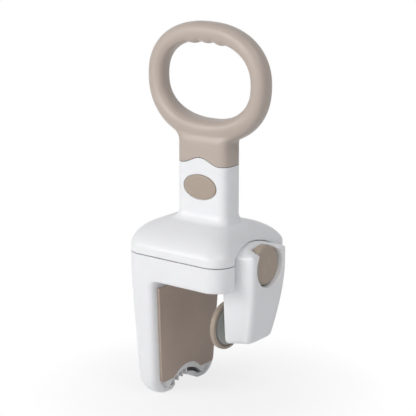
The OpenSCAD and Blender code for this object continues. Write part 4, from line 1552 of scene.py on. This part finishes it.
@dataclass
class Studio:
    """Floor, backdrop, lamps and the camera of the photo."""

    azimuth: float = 37.5
    elevation: float = 14.6
    distance: float = 1.6
    lens: float = 131.87
    offset: Flat = (0.000945, -0.0674)
    floor_z: float = -0.1325
    floor_w: float = 12000.0
    white: float = 1.0
    shadow: float = 0.22
    ambient: float = 0.24
    aim: tuple[float, float, float] = (0.0, 0.0, 0.06)

    def camera(self) -> None:
        """Places the camera at the photo's viewpoint."""
        a, e = radians(self.azimuth), radians(self.elevation)
        right = Vector((cos(a), sin(a), 0))
        up = Vector((-sin(a) * sin(e), cos(a) * sin(e), cos(e)))
        back = Vector((sin(a) * cos(e), -cos(a) * cos(e), sin(e)))
        place = back * self.distance - right * self.offset[0] - up * self.offset[1]
        data = bpy.data.cameras.new("photo_camera")
        data.sensor_width = 36.0
        data.lens = self.lens
        data.clip_start = 0.05
        data.clip_end = 30.0
        camera = bpy.data.objects.new("photo_camera", data)
        turn = Matrix((right, up, back)).transposed().to_4x4()
        camera.matrix_world = Matrix.Translation(place) @ turn
        bpy.context.scene.collection.objects.link(camera)
        bpy.context.scene.camera = camera

    def lamp(self, name: str, place: tuple, size: float, power: float, colour: tuple) -> None:
        """Adds a soft lamp that faces the object.

        Args:
            name: Name of the lamp.
            place: Its place in metres.
            size: Side of its square in metres.
            power: Its power in watts.
            colour: Its colour.
        """
        data = bpy.data.lights.new(name, "AREA")
        data.size = size
        data.energy = power
        data.color = colour
        lamp = bpy.data.objects.new(name, data)
        lamp.location = place
        aim = Vector(self.aim) - Vector(place)
        lamp.rotation_euler = aim.to_track_quat("-Z", "Y").to_euler()
        bpy.context.scene.collection.objects.link(lamp)

    def _floor_material(self) -> bpy.types.Material:
        """Matte floor that is seen as white, with a soft shadow left round the foot.

        Returns:
            The material.
        """
        material = bpy.data.materials.new("pale_floor")
        shade = Shading(material)
        away = shade.add("ShaderNodeVectorMath", {"operation": "LENGTH"}, Vector=shade.coords)
        matte = shade.add("ShaderNodeBsdfDiffuse", Color=(0.9, 0.9, 0.9, 1))
        dark = shade.spread(away.outputs["Value"], self.shadow, 0.0, 0.145, 0.235)
        near = shade.choose(dark, shade.add("ShaderNodeEmission"), matte)
        shade.end(shade.choose(shade.seen(), matte, near))
        return material

    def stage(self) -> None:
        """Builds the pale floor and the world's light."""
        w, z = self.floor_w / 2, self.floor_z / MM
        floor = make_piece("floor", [(-w, -w, z), (w, -w, z), (w, w, z), (-w, w, z)],
                           [[0, 1, 2, 3]], smooth=False)
        floor.data.materials.append(self._floor_material())
        world = bpy.data.worlds.new("studio")
        bpy.context.scene.world = world
        shade = Shading(world, "ShaderNodeOutputWorld")
        soft = shade.add("ShaderNodeBackground", Color=(0.93, 0.95, 1.0, 1), Strength=self.ambient)
        plain = shade.add("ShaderNodeBackground", Color=(1, 1, 1, 1), Strength=self.white)
        shade.end(shade.choose(shade.seen(), soft, plain))
        bpy.context.scene.view_settings.view_transform = "Standard"

    def build(self) -> None:
        """Builds the whole studio."""
        self.camera()
        self.stage()
        warm = (1.0, 0.99, 0.98)
        self.lamp("key", (-0.75, -1.6, 0.6), size=1.0, power=17.5, colour=warm)
        self.lamp("top", (0.0, 0.1, 1.8), size=1.2, power=1.5, colour=(1.0, 1.0, 1.0))
        self.lamp("right", (1.3, -0.45, 1.75), size=1.0, power=11.0, colour=warm)
        self.lamp("low", (0.8, -1.35, -0.02), size=0.8, power=4.5, colour=warm)


def dress_frame(frame: dict, finishes: Finishes) -> None:
    """Gives every frame node that stays in view its finish.

    Args:
        finishes: The finishes.
    """
    by_slot = {"white_shell": WHITE_SHELL, "taupe_rubber": TAUPE_SKIN, "pad_rubber": JAW_RUBBER,
               "steel": STEEL, "brass": BRASS, "nylon": NYLON, "swivel_plastic": SWIVEL_PLASTIC}
    for entry in frame["record"]["subparts"]:
        node = frame["nodes"].get(entry["node"])
        if node is None:
            continue
        finishes.dress(node, by_slot[entry["material_slot"]])
        LOG.info("%s: frame node, finish %s", entry["node"], by_slot[entry["material_slot"]].name)


def main() -> None:
    logging.basicConfig(level=logging.INFO, format="%(name)s: %(message)s")
    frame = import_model()
    finishes = Finishes()
    sizes = Sizes()
    Studio().build()
    dress_frame(frame, finishes)
    for part in (Housing(sizes, finishes), Grip(sizes, finishes), SlidingJaw(sizes, finishes),
                 ClampScrew(sizes, finishes), SwivelPad(sizes, finishes)):
        part.build()


if __name__ == "__main__":
    main()
